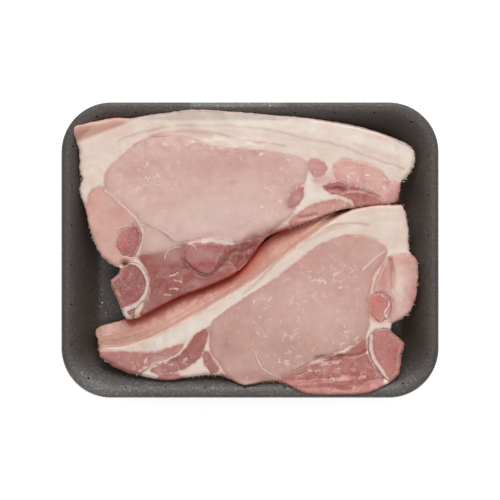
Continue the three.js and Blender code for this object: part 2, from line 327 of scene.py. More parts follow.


# %% [markdown]
# ## Shared finishes
# Meat and foam both need uneven tone, and meat, bone and sinew a film of moisture. Each effect is one
# shader group with named inputs, so every material can use it at its own scale and strength.

# %% A helper for shader groups and materials
def shader_group(name, inputs, outputs):
    group = bpy.data.node_groups.new(name, "ShaderNodeTree")
    for label, kind, value in inputs:
        socket = group.interface.new_socket(label, in_out="INPUT", socket_type=kind)
        if value is not None:
            socket.default_value = value
    for label, kind in outputs:
        group.interface.new_socket(label, in_out="OUTPUT", socket_type=kind)
    graph = Graph(group)
    return group, graph, graph.node("NodeGroupInput").outputs, graph.node("NodeGroupOutput").inputs


def new_material(name):
    material = bpy.data.materials.new(name)
    material.use_nodes = True
    material.node_tree.nodes.clear()
    graph = Graph(material.node_tree)
    shader = graph.node("ShaderNodeBsdfPrincipled")
    out = graph.node("ShaderNodeOutputMaterial")
    graph.feed(out.inputs["Surface"], shader.outputs[0])
    place = graph.node("ShaderNodeTexCoord").outputs["Object"]
    return material, graph, shader, place


def use_group(graph, group, values):
    node = graph.node("ShaderNodeGroup", node_tree=group)
    for name, value in values.items():
        graph.feed(node.inputs[name], value)
    return node.outputs


def attribute(g, name, output="Fac"):
    return g.node("ShaderNodeAttribute", attribute_name=name).outputs[output]


def grey(g, value):
    node = g.node("ShaderNodeCombineColor")
    for channel in ("Red", "Green", "Blue"):
        g.feed(node.inputs[channel], value)
    return node.outputs[0]


def toned(g, colour, tone):
    """The colour made lighter or darker by a tone round 1."""
    return g.blend(1.0, colour, grey(g, tone), "MULTIPLY")


def see_through(shader, weight, depth):
    """Lets light sink into flesh, red furthest. The depth is in metres."""
    shader.inputs["Subsurface Weight"].default_value = weight
    shader.inputs["Subsurface Radius"].default_value = (1.0, 0.4, 0.25)
    shader.inputs["Subsurface Scale"].default_value = depth


# %% Mottle: patches a little lighter and darker than their surroundings
def mottle_group():
    inputs = [
        ("Vector", "NodeSocketVector", None),
        ("Scale", "NodeSocketFloat", 100.0),
        ("Detail", "NodeSocketFloat", 4.0),
        ("Amount", "NodeSocketFloat", 0.1),
    ]
    group, g, value, out = shader_group("Mottle", inputs, [("Tone", "NodeSocketFloat")])
    cloud = g.node("ShaderNodeTexNoise", {"Vector": value["Vector"], "Scale": value["Scale"]})
    g.feed(cloud.inputs["Detail"], value["Detail"])
    centred = g.math("SUBTRACT", cloud.outputs["Fac"], 0.5)
    swing = g.math("MULTIPLY", g.math("MULTIPLY", centred, 2.0), value["Amount"])
    g.feed(out["Tone"], g.math("ADD", swing, 1.0))
    return group


# %% Wisps: thin, curved, broken lines, as fat marbling and torn fibres are
def wisps_group():
    inputs = [
        ("Vector", "NodeSocketVector", None),
        ("Scale", "NodeSocketFloat", 150.0),
        ("Width", "NodeSocketFloat", 0.02),
        ("Share", "NodeSocketFloat", 0.5),
    ]
    group, g, value, out = shader_group("Wisps", inputs, [("Mask", "NodeSocketFloat")])
    lines = g.node(
        "ShaderNodeTexNoise",
        {"Vector": value["Vector"], "Scale": value["Scale"], "Detail": 2.0, "Distortion": 0.8},
    )
    from_line = g.math("ABSOLUTE", g.math("SUBTRACT", lines.outputs["Fac"], 0.5))
    thin = g.math("SUBTRACT", 1.0, g.ramp(from_line, 0.0, value["Width"]))
    patch_scale = g.math("MULTIPLY", value["Scale"], 1.9)
    patches = g.node("ShaderNodeTexNoise", {"Vector": value["Vector"], "Scale": patch_scale, "Detail": 1.0})
    threshold = g.math("SUBTRACT", 0.75, g.math("MULTIPLY", value["Share"], 0.4))
    kept = g.ramp(patches.outputs["Fac"], threshold, g.math("ADD", threshold, 0.08))
    g.feed(out["Mask"], g.math("MULTIPLY", thin, kept))
    return group


# %% Moist skin: fine relief and an uneven gloss
def moist_group():
    inputs = [
        ("Vector", "NodeSocketVector", None),
        ("Scale", "NodeSocketFloat", 400.0),
        ("Driest", "NodeSocketFloat", 0.5),
        ("Wettest", "NodeSocketFloat", 0.25),
    ]
    outputs = [("Roughness", "NodeSocketFloat"), ("Height", "NodeSocketFloat")]
    group, g, value, out = shader_group("Moist_Skin", inputs, outputs)
    fine = g.node("ShaderNodeTexNoise", {"Vector": value["Vector"], "Scale": value["Scale"], "Detail": 4.0})
    broad_scale = g.math("MULTIPLY", value["Scale"], 0.2)
    broad = g.node("ShaderNodeTexNoise", {"Vector": value["Vector"], "Scale": broad_scale, "Detail": 2.0})
    wet = g.ramp(broad.outputs["Fac"], 0.4, 0.6)
    span = g.math("SUBTRACT", value["Wettest"], value["Driest"])
    g.feed(out["Roughness"], g.math("ADD", value["Driest"], g.math("MULTIPLY", span, wet)))
    g.feed(out["Height"], g.math("ADD", fine.outputs["Fac"], broad.outputs["Fac"]))
    return group


MOTTLE = mottle_group()
WISPS = wisps_group()
MOIST = moist_group()


# %% [markdown]
# ## Foam
# Black polystyrene foam is a warm charcoal with a faint sheen: its skin is made of burst cells, so a
# bright light breaks up into grains on it. On the front wall and corners, and on one stretch of the back
# rim, paler grains are a painted sheen. Noise drives the grain's colour, its relief and its gloss together.

# %% The foam's material
FOAM_COLOUR = shown(60, 51, 45)
FOAM_PALE = shown(150, 149, 146)
RIM_HIGHLIGHT_START = -38 * MM
RIM_HIGHLIGHT_END = 26 * MM


def painted_sheen_mask(g, place):
    """Where the foam's sheen is painted paler: the front wall, most of all its left corner, and the back
    rim.
    """
    axis = g.node("ShaderNodeSeparateXYZ", {"Vector": place})
    x, y = axis.outputs["X"], axis.outputs["Y"]
    front = g.math("SUBTRACT", 1.0, g.ramp(y, -90 * MM, -62 * MM))
    left = g.math("SUBTRACT", 1.0, g.ramp(x, -112 * MM, -55 * MM))
    corner = g.math("MULTIPLY", front, g.math("ADD", 0.3, g.math("MULTIPLY", left, 0.7)))
    rim = g.ramp(y, 88 * MM, 90 * MM)
    rim = g.math("MULTIPLY", rim, g.ramp(x, RIM_HIGHLIGHT_START, RIM_HIGHLIGHT_START + 1 * MM))
    fading = g.math("SUBTRACT", 1.0, g.ramp(x, RIM_HIGHLIGHT_END - 12 * MM, RIM_HIGHLIGHT_END))
    rim = g.math("MULTIPLY", rim, fading)
    return g.math("MAXIMUM", corner, g.math("MULTIPLY", rim, 0.9))


def foam_material():
    material, g, shader, place = new_material("Charcoal_Foam")
    cloud = use_group(g, MOTTLE, {"Vector": place, "Scale": 60.0, "Detail": 6.0, "Amount": 0.22})
    cells = g.node("ShaderNodeTexVoronoi", {"Vector": place, "Scale": 480.0})
    grain = g.node("ShaderNodeTexNoise", {"Vector": place, "Scale": 620.0, "Detail": 4.0})
    bright_cell = g.ramp(grain.outputs["Fac"], 0.5, 0.68)
    # Paler grains on the front wall, its left corner and the back rim: painted sheen and painted rim
    # highlight.
    painted_sheen = painted_sheen_mask(g, place)
    speckle = g.math("ADD", 0.12, g.math("MULTIPLY", painted_sheen, 0.75))
    speckle = g.math("MULTIPLY", speckle, g.math("ADD", 0.35, g.math("MULTIPLY", bright_cell, 0.65)))
    base = g.blend(speckle, FOAM_COLOUR, FOAM_PALE)
    g.feed(shader.inputs["Base Color"], toned(g, base, cloud["Tone"]))
    g.feed(shader.inputs["Roughness"], g.math("SUBTRACT", 0.5, g.math("MULTIPLY", bright_cell, 0.2)))
    shader.inputs["Specular IOR Level"].default_value = 0.6
    height = g.math("ADD", g.math("MULTIPLY", cells.outputs["Distance"], 0.6), grain.outputs["Fac"])
    bump = g.node("ShaderNodeBump", {"Height": height, "Strength": 0.7, "Distance": 0.0005})
    g.feed(shader.inputs["Normal"], bump.outputs[0])
    return material


foam = foam_material()


# %% Build the tray
KNOCK_X = -38.5
KNOCK_DEPTH = 0.9
WAVE_SIZE = 45
WAVE_HEIGHT = 0.25


def rim_crease(places):
    """A knock in the back rim: a short groove across the lip, 1 mm wide."""
    along = np.exp(-(((places[:, 0] - KNOCK_X * MM) / (1.0 * MM)) ** 2))
    near_rim = np.clip((places[:, 1] - 86 * MM) / (3 * MM), 0, 1) * (places[:, 2] > 15 * MM)
    places[:, 2] -= KNOCK_DEPTH * MM * along * near_rim
    return places


def build_tray():
    section = section_curve()
    obj = run_tree(tray_tree(foam), "Tray", {"Section": section})
    bpy.data.objects.remove(section)
    mesh = obj.data
    places = vertex_array(mesh)
    waves = wobble(places, WAVE_SIZE * MM, 3) * WAVE_HEIGHT * MM
    lifted = places[:, 2] > 1 * MM
    places[:, 2] += waves * lifted
    move_vertices(mesh, rim_crease(places))
    finish_piece(obj, foam, ["tray"])
    return obj


build_tray()

# %% [markdown]
# ## Pressed dots
# The press leaves a ring of pinholes near the rim and a second ring at the foot of the wall. A tree
# lays them out along two rounded rectangles, one small dark ball sunk at each point.

# %% The dots' material and tree
DOT_PITCH = 25.0
DOT_ROWS = (6.2, 19.5)
DOT_RADIUS = 0.8
DOT_SHOWING = 0.2


def dot_material():
    material, g, shader, place = new_material("Pinhole_Shadow")
    dark = use_group(g, MOTTLE, {"Vector": place, "Scale": 900.0, "Detail": 2.0, "Amount": 0.3})
    shade = g.math("MULTIPLY", dark["Tone"], 0.006)
    g.feed(shader.inputs["Base Color"], grey(g, shade))
    shader.inputs["Roughness"].default_value = 0.9
    shader.inputs["Specular IOR Level"].default_value = 0.1
    return material


def dots_tree(material):
    inputs = [
        ("Length", "NodeSocketFloat", 0.2),
        ("Width", "NodeSocketFloat", 0.15),
        ("Corner", "NodeSocketFloat", 0.02),
        ("Height", "NodeSocketFloat", 0.02),
        ("Pitch", "NodeSocketFloat", 0.025),
        ("Dot Radius", "NodeSocketFloat", 0.0008),
    ]
    tree, g, entry = geometry_tree("Pressed_Dots", inputs)
    value = entry.outputs
    line = g.node("GeometryNodeCurvePrimitiveQuadrilateral", mode="RECTANGLE")
    g.feed(line.inputs["Width"], value["Length"])
    g.feed(line.inputs["Height"], value["Width"])
    rounded = g.node("GeometryNodeFilletCurve", mode="POLY")
    g.feed(rounded.inputs["Curve"], line.outputs[0])
    g.feed(rounded.inputs["Radius"], value["Corner"])
    g.feed(rounded.inputs["Count"], 8)
    spaced = g.node("GeometryNodeResampleCurve", mode="LENGTH")
    g.feed(spaced.inputs["Curve"], rounded.outputs[0])
    g.feed(spaced.inputs["Length"], value["Pitch"])
    raised = g.node("ShaderNodeCombineXYZ", {"Z": value["Height"]})
    lifted = g.node("GeometryNodeSetPosition", {"Geometry": spaced.outputs[0], "Offset": raised.outputs[0]})
    ball = g.node("GeometryNodeMeshUVSphere", {"Segments": 10, "Rings": 6, "Radius": value["Dot Radius"]})
    placed = g.node(
        "GeometryNodeInstanceOnPoints", {"Points": lifted.outputs[0], "Instance": ball.outputs["Mesh"]}
    )
    end_tree(g, placed.outputs[0], material)
    return tree


def build_dots():
    material = dot_material()
    tree = dots_tree(material)
    for row, inward in enumerate(DOT_ROWS):
        slope = (inner_height(inward + 0.1) - inner_height(inward - 0.1)) / 0.2
        sunk = (DOT_RADIUS - DOT_SHOWING) * math.hypot(1, slope)
        values = {
            "Length": (TRAY_LENGTH - 2 * inward) * MM,
            "Width": (TRAY_WIDTH - 2 * inward) * MM,
            "Corner": (CORNER - CORNER_SHRINK * inward) * MM,
            "Height": (inner_height(inward) - sunk) * MM,
            "Pitch": DOT_PITCH * MM,
            "Dot Radius": DOT_RADIUS * MM,
        }
        obj = run_tree(tree, f"Pressed_Dots_{row + 1}", values)
        finish_piece(obj, material, [])


build_dots()

# %% [markdown]
# ## Reading the cut face
# On a real chop every muscle, bone and seam of fat runs through the slab, so the CAD model holds one
# upright solid for each. Their outlines, seen from above, tell which tissue any place on the meat
# belongs to and how far it is from the next one. Colour and relief both follow from that distance.

# %% Outlines of the CAD nodes, seen from above
def upward_edges(node):
    """The directed edges round a node's upward faces, as a map from each corner to the next."""
    mesh = NODES[node].data
    mesh.calc_loop_triangles()
    index = np.zeros(len(mesh.loop_triangles) * 3, np.int32)
    mesh.loop_triangles.foreach_get("vertices", index)
    corners = (vertex_array(mesh) / MM)[index].reshape(-1, 3, 3)
    normal = np.cross(corners[:, 1] - corners[:, 0], corners[:, 2] - corners[:, 0])
    size = np.linalg.norm(normal, axis=1)
    upward = (normal[:, 2] > 0.02 * size) | (size < 0.02)
    edges = set()
    for triangle in np.round(corners[upward], 3):
        keys = [tuple(corner) for corner in triangle]
        for a, b in zip(keys, keys[1:] + keys[:1]):
            if (b, a) in edges:
                edges.discard((b, a))
            elif a != b:
                edges.add((a, b))
    following = {}
    for a, b in edges:
        following.setdefault(a, []).append(b)
    return following


def outline_loops(node):
    """The node's outline from above as closed loops of (x, y) in mm, its corners cut once."""
    following = upward_edges(node)
    loops = []
    while following:
        first = corner = next(iter(following))
        loop = []
        while corner in following:
            loop.append(corner[:2])
            ends = following[corner]
            onward = ends.pop()
            if not ends:
                del following[corner]
            corner = onward
        ring = np.array(loop)
        x, y = ring.T
        area = 0.5 * abs((x * np.roll(y, -1) - y * np.roll(x, -1)).sum())
        if corner == first and area > 3:
            after = np.roll(ring, -1, axis=0)
            cut = np.stack([ring * 0.75 + after * 0.25, ring * 0.25 + after * 0.75], axis=1)
            loops.append(cut.reshape(-1, 2))
    return loops


def node_outline(node):
    """The outline as segments (starts, ends)."""
    loops = outline_loops(node)
    starts = np.concatenate(loops)
    ends = np.concatenate([np.roll(loop, -1, axis=0) for loop in loops])
    return starts, ends


def distance_to(points, starts, ends):
    """Distance from each point to the nearest of the segments."""
    best = np.full(len(points), 1e6)
    for a, b in zip(starts, ends):
        along = b - a
        t = np.clip(((points - a) @ along) / max(along @ along, 1e-9), 0, 1)
        gap = points - a - t[:, None] * along
        best = np.minimum(best, (gap**2).sum(axis=1))
    return np.sqrt(best)


def is_inside(points, starts, ends):
    """Whether each point lies inside the closed outline."""
    x, y = points.T
    odd = np.zeros(len(points), bool)
    for (ax, ay), (bx, by) in zip(starts, ends):
        if ay != by:
            spans = (ay > y) != (by > y)
            odd ^= spans & (x < ax + (y - ay) * (bx - ax) / (by - ay))
    return odd


def read_outlines(prefix):
    """For each CAD node of a chop: its outline, and which segments have another tissue beyond them."""
    outlines = {node: node_outline(node) for node in NODES if node.startswith(prefix)}
    shared = {}
    for node, (starts, ends) in outlines.items():
        along = ends - starts
        outward = np.c_[along[:, 1], -along[:, 0]]
        outward /= np.maximum(np.linalg.norm(outward, axis=1), 1e-6)[:, None]
        touched = np.zeros(len(starts), bool)
        for reach in (0.8, 1.5, 2.2):
            beyond = (starts + ends) / 2 + outward * reach
            for other_starts, other_ends in outlines.values():
                touched |= is_inside(beyond, other_starts, other_ends)
        shared[node] = touched
    return outlines, shared


def outer_edge(outlines, shared):
    """The chop's own outline: every segment with nothing beyond it."""
    starts = np.concatenate([outlines[n][0][~shared[n]] for n in outlines])
    ends = np.concatenate([outlines[n][1][~shared[n]] for n in outlines])
    return starts, ends


def off_meat(points, outlines):
    """Whether each point lies outside the chop, and not merely in a seam between two tissues."""
    covered = np.zeros(len(points), bool)
    gap = np.full(len(points), 1e6)
    for starts, ends in outlines.values():
        covered |= is_inside(points, starts, ends)
        gap = np.minimum(gap, distance_to(points, starts, ends))
    return ~covered & (gap > 0.45)


def pulled_in(points, off, starts, ends, depth):
    """Points off the meat, or nearer the chop's edge than `depth`, are moved in to that depth."""
    best = np.full(len(points), 1e6)
    foot = np.zeros_like(points)
    inward = np.zeros_like(points)
    for a, b in zip(starts, ends):
        along = b - a
        length = max(np.hypot(*along), 1e-6)
        t = np.clip(((points - a) @ along) / length**2, 0, 1)
        nearest = a + t[:, None] * along
        gap = ((points - nearest) ** 2).sum(axis=1)
        normal = np.array([-along[1], along[0]]) / length
        closer = gap < best - 1e-7
        tied = np.abs(gap - best) <= 1e-7
        inward[tied] += normal
        inward[closer] = normal
        foot[closer] = nearest[closer]
        best = np.minimum(best, gap)
    inward /= np.maximum(np.linalg.norm(inward, axis=1), 1e-6)[:, None]
    moving = (np.sqrt(best) < depth) | off
    moved = points.copy()
    moved[moving] = foot[moving] + inward[moving] * depth
    return moved


# %% A lattice over the plan, read between its points
LATTICE = 1.0


def plan_lattice(places):
    """The corner, the shape and the points of a lattice that covers the places, in mm."""
    low = np.floor(places[:, :2].min(axis=0)) - 4
    high = np.ceil(places[:, :2].max(axis=0)) + 4
    columns, rows = (int(n) for n in (high - low) / LATTICE + 1)
    x, y = np.meshgrid(np.arange(columns), np.arange(rows), indexing="ij")
    points = low + np.stack([x.ravel(), y.ravel()], axis=1) * LATTICE
    return low, (columns, rows), points


def read_lattice(low, shape, values, plan):
    """The values between the lattice's points at each place of the plan."""
    grid = values.reshape(*shape, -1)
    at = np.clip((plan - low) / LATTICE, 0, np.array(shape) - 1.001)
    cell = at.astype(int)
    fx, fy = (at - cell).T[:, :, None]
    i, j = cell.T
    near = grid[i, j] * (1 - fx) + grid[i + 1, j] * fx
    far = grid[i, j + 1] * (1 - fx) + grid[i + 1, j + 1] * fx
    return (near * (1 - fy) + far * fy).squeeze()


# %% [markdown]
# ## One skin for each chop
# The CAD solids stand a hair apart. Grown by that hair and fused on a fine voxel grid they become a
# single closed skin, which can bulge, crease and fray without a gap. The underside needs no such
# detail, so it is thinned out again.

# %% Fuse CAD solids into one skin
FINE = 0.6
MOST_TRIANGLES = 185000


def fused_skin(name, nodes, cell, rounds):
    """A closed skin round several CAD solids, smoothed a number of rounds."""
    shape = bmesh.new()
    for node in nodes:
        shape.from_mesh(NODES[node].data)
    bmesh.ops.remove_doubles(shape, verts=shape.verts, dist=1e-6)
    shape.normal_update()
    for vertex in shape.verts:
        vertex.co += vertex.normal * 0.27 * MM
    mesh = bpy.data.meshes.new(name)
    shape.to_mesh(mesh)
    shape.free()
    obj = make_object(name, mesh)
    remesh = obj.modifiers.new("Fuse", "REMESH")
    remesh.mode = "VOXEL"
    remesh.voxel_size = cell * MM
    smooth = obj.modifiers.new("Relax", "SMOOTH")
    smooth.factor = 0.5
    smooth.iterations = rounds
    return baked(obj, name)


def thin_underside(obj, name):
    """Merges the underside's small faces until the skin has at most MOST_TRIANGLES."""
    triangles = sum(len(p.vertices) - 2 for p in obj.data.polygons)
    if triangles <= MOST_TRIANGLES:
        return obj
    downward = np.flatnonzero(vertex_array(obj.data, "normal")[:, 2] < 0.25)
    group = obj.vertex_groups.new(name="Underside")
    group.add([int(i) for i in downward], 1.0, "REPLACE")
    thin = obj.modifiers.new("Thin", "DECIMATE")
    thin.vertex_group = "Underside"
    thin.vertex_group_factor = 1.0
    thin.ratio = MOST_TRIANGLES / triangles
    result = baked(obj, name)
    result.vertex_groups.clear()
    return result


# %% Lines and dabs drawn on the plan
def smooth_line(points):
    """The line with its corners cut twice, as segments."""
    line = np.array(points, float)
    for _ in range(2):
        first, second = line[:-1], line[1:]
        cut = np.stack([first * 0.75 + second * 0.25, first * 0.25 + second * 0.75], axis=1)
        line = np.concatenate([line[:1], cut.reshape(-1, 2), line[-1:]])
    return line[:-1], line[1:]


def stroke_mask(plan, width, points):
    """1 on the line, fading to 0 about `width` away from it."""
    return np.exp(-((distance_to(plan, *smooth_line(points)) / width) ** 2))


def dab_mask(plan, x, y, reach_x, reach_y):
    """1 at the spot, fading to 0 about its reach away."""
    return np.exp(-(((plan[:, 0] - x) / reach_x) ** 2) - ((plan[:, 1] - y) / reach_y) ** 2)


def tint(layer, mask, colour):
    """Moves a layer of colours towards one colour where the mask is high."""
    layer += (np.array(colour[:3]) - layer) * np.clip(mask, 0, 1)[:, None]


# %% [markdown]
# ## The two chops
# Each chop is a short list: the colour of every muscle, the crest where the rind begins, and the
# strokes and dabs that make it this chop and not another: sheets of membrane, layers in the fat,
# dark patches, some of them painted shade, dents and frayed stretches of its edge. Positions are in
# millimetres from the tray's middle.

# %% Colours of pork
FAT = shown(220, 198, 183)
FAT_WHITE = shown(233, 220, 208)
FAT_PINK = shown(228, 188, 172)
FAT_LINE = shown(188, 146, 134)
FAT_SEAM = shown(212, 166, 154)
LEAN_PALE = shown(216, 186, 174)
LEAN = shown(212, 175, 165)
LEAN_ROSE = shown(196, 145, 135)
LEAN_DARK = shown(158, 84, 77)
LEAN_DEEP = shown(132, 54, 48)
RIND = shown(190, 142, 123)
RIND_ROSE = shown(212, 166, 148)
RIND_GREY = shown(186, 160, 156)
FLUSH = shown(180, 98, 78)
# the deepest flush, next to the gap: bloody juice and painted shade
FLUSH_AND_SHADE = shown(178, 84, 68)
# dark red: bloody juice, also painted shade in the gap between the chops
BLOOD_AND_SHADE = shown(168, 56, 44)
MEMBRANE = shown(232, 212, 200)
CARTILAGE = shown(228, 212, 203)

# %% The upper chop
UPPER = {
    "name": "Upper_Chop",
    "plump": 0.0,
    "tissues": {
        "upper_loin": LEAN,
        "upper_side_lean": shown(206, 171, 160),
        "upper_spine_lean": shown(212, 164, 150),
        "upper_tenderloin": shown(144, 62, 52),
        "upper_flap": shown(156, 64, 62),
        "upper_slip": shown(182, 116, 110),
        "upper_belly_tip": shown(200, 140, 132),
        "upper_belly_outer": shown(216, 166, 155),
        "upper_belly_inner": shown(168, 88, 79),
        "upper_belly_strip": shown(206, 146, 135),
    },
    "crest": [
        (-112, 65), (-108, 66.5), (-101, 69.8), (-89, 74.2), (-78, 78.3), (-74, 80.6), (-68, 82.4),
        (-53, 84.2), (-37, 86.1),
        (-12, 85.2), (12, 83.2), (37, 81.2), (62, 77.2), (81, 72.2), (98, 64.2), (106, 60),
    ],
    "rind": [(-112, 1.5), (-80, 1.5), (-70, 0.3), (110, 0.3)],
    "fat_strokes": [
        (FAT_LINE, 0.8, 0.7, [
            (-82, 68), (-77, 71), (-56, 76), (-42, 78), (-18, 77.5), (6, 76.5), (20, 73),
            (39, 68.5), (57, 65.5), (71, 59), (90, 53), (96, 51),
        ]),
        (FAT_LINE, 0.8, 0.7, [
            (-66, 69), (-56, 72.5), (-42, 74), (-23, 73.5), (-9, 69.5), (6, 67), (22, 65),
        ]),
        (shown(182, 108, 98), 0.9, 0.85, [(-72, 65.5), (-62, 69.7), (-50, 71)]),
        (shown(204, 166, 152), 2.2, 0.7, [(-54, 72.5), (-44, 74.5), (-34, 74), (-24, 72)]),
        (shown(204, 160, 142), 2.0, 0.7, [(66, 66.5), (74, 63), (84, 60), (92, 57)]),
        (FAT_PINK, 2.5, 0.35, [(72, 62), (86, 58), (97, 55)]),
        (FAT_WHITE, 4.5, 0.9, [(-30, 81), (0, 80), (30, 77), (60, 71), (84, 64), (98, 58)]),
        (FAT_WHITE, 3.0, 0.8, [(30, 33), (38, 33), (46, 33)]),
        (FAT_WHITE, 2.5, 0.8, [(36, 44), (37, 34), (30, 24)]),
        (shown(158, 92, 78), 2.4, 0.85, [(-4, 2), (12, 9.5), (27, 15.5)]),
        (BLOOD_AND_SHADE, 1.0, 0.8, [(31, 20), (36, 20.5), (41, 22)]),
        (FAT_PINK, 3.5, 0.6, [(-104, 66), (-92, 70), (-80, 74)]),
        (BLOOD_AND_SHADE, 1.2, 1.0, [(-79.5, -8.5), (-77, -8.5)]),
        (shown(208, 160, 148), 1.5, 1.0, [
            (-77, 15), (-71, 17), (-67, 12), (-68, 3), (-73, -5), (-80, -4), (-84, 3), (-82, 10), (-77, 15),
        ]),
        (shown(166, 96, 92), 1.5, 1.0, [(-14, 2), (-15, -4), (-19, -10), (-24, -14)]),
        (shown(196, 136, 128), 1.0, 0.8, [(-60, -3), (-50, 1), (-42, 3)]),
        (shown(206, 170, 159), 1.6, 0.95, [(-72, 17), (-64, 18.5), (-56, 14), (-46, 6), (-42, 3)]),
        (shown(206, 168, 157), 1.4, 0.9, [(-74, 2), (-67, -5.5), (-58, -4.5), (-48, 0)]),
        (shown(208, 158, 147), 1.8, 0.8, [(50, 42), (56, 43), (66, 41), (76, 37), (86, 30)]),
        (shown(206, 150, 138), 3.0, 0.7, [(42, 44), (48, 43), (54, 46)]),
        (shown(214, 160, 148), 2.2, 0.7, [(62, 32), (70, 26), (80, 24), (90, 27)]),
    ],
    "lean_dabs": [
        (LEAN_PALE, -38, 18, 34, 12, 0.8),
        (LEAN_PALE, -10, 30, 26, 9, 0.5),
        (LEAN_ROSE, -20, 54, 34, 9, 0.55),
        (LEAN_ROSE, -70, 50, 12, 10, 0.35),
        (LEAN_ROSE, 18, 50, 12, 8, 0.4),
        (shown(199, 140, 133), -81, 23, 5, 7, 0.8),
        (LEAN_DEEP, 2, 2, 10, 4, 0.6),
        (shown(146, 76, 64), 5, 8, 6, 3, 0.85),
        (shown(146, 76, 64), 13, 11.5, 6, 3, 0.85),
        (shown(146, 76, 64), 22, 15.5, 6, 2.6, 0.8),
        (LEAN_DARK, -5, -6, 12, 6, 0.5),
        (shown(150, 62, 56), 54, 38, 5, 2, 0.85),
        # painted shade: the side wall at the right end, dark red where it lies in shade
        (shown(150, 70, 64), 95, 32, 6, 6, 0.85),
        # painted shade along the lower edge, over the gap between the chops
        (LEAN_DEEP, -45, -30, 20, 5, 0.5),
        (LEAN_ROSE, -52, -3, 8, 4, 0.5),
    ],
    "membranes": [
        (0.35, [(-90, 37), (-84, 32), (-75, 24), (-69, 17), (-67, 10)]),
        (0.2, [(-82, 31), (-76, 25), (-71, 20)]),
        (0.2, [(-53, -6), (-52, -1), (-48, 1.5), (-43, 2)]),
        (0.2, [(-38, 4), (-35, 2.5), (-33, 0)]),
        (0.05, [(-68, 18), (-57, 13.5), (-46, 6)]),
        (0.0, [(-40, -8), (-37, -12), (-31, -15.5)]),
        (1.3, [(-29, 6), (-23, 7), (-17, 6.5), (-12, 4.5)]),
        (0.3, [(-50, -16), (-47, -15.5), (-45, -14)]),
        (0.25, [(-47, -18), (-43, -20.5)]),
        (0.3, [(-51, -24.5), (-48, -24), (-45, -24.5)]),
        (0.25, [(-54, -28), (-49, -28.5)]),
        (0.3, [(-72, 16), (-77, 15), (-82, 13)]),
    ],
    "flecks": [
        (-62, 46, 20, 14), (-36, 66, 16, 4), (22, 54, 12, 6), (4, 60, 14, 4), (14, 30, 14, 16),
        (74, 44, 16, 9, 1.4), (50, 22, 16, 6, 1.4), (45, 50, 10, 8, 1.2), (0, -8, 12, 6),
    ],
    "wet": [
        (0, -4, 16, 10, 1.0), (-50, -20, 20, 10, 0.5), (62, 36, 28, 14, 0.7), (-20, 65, 46, 4, 0.7),
        (34, 38, 8, 12, 0.5),
    ],
    "dents": [
        (-78, -8.5, 1.8, 1.8, -6),
        (-6, -8, 9, 5, -2.5),
        (54, 38, 4, 1.5, -1.5),
        (-17, -9, 3, 3, -1.2),
        (-56, 5, 8, 5, -0.7),
    ],
    "creases": [
        (1.1, -1.6, [(31, 20), (36, 20.5), (41, 22)]),
        (1.2, -0.9, [(-13, -3), (-9, 0), (-5, -2), (3, 3)]),
        (1.0, -0.8, [(-41, -7), (-37, -12.5), (-30, -16.5), (-24, -16), (-18, -10)]),
        (0.9, -0.7, [(56, 36), (68, 38), (80, 33)]),
    ],
    "ragged": [(-103, 45, 8, 22), (-88, -8, 8, 8), (100, 56, 6, 10), (93, 34, 6, 8)],
}

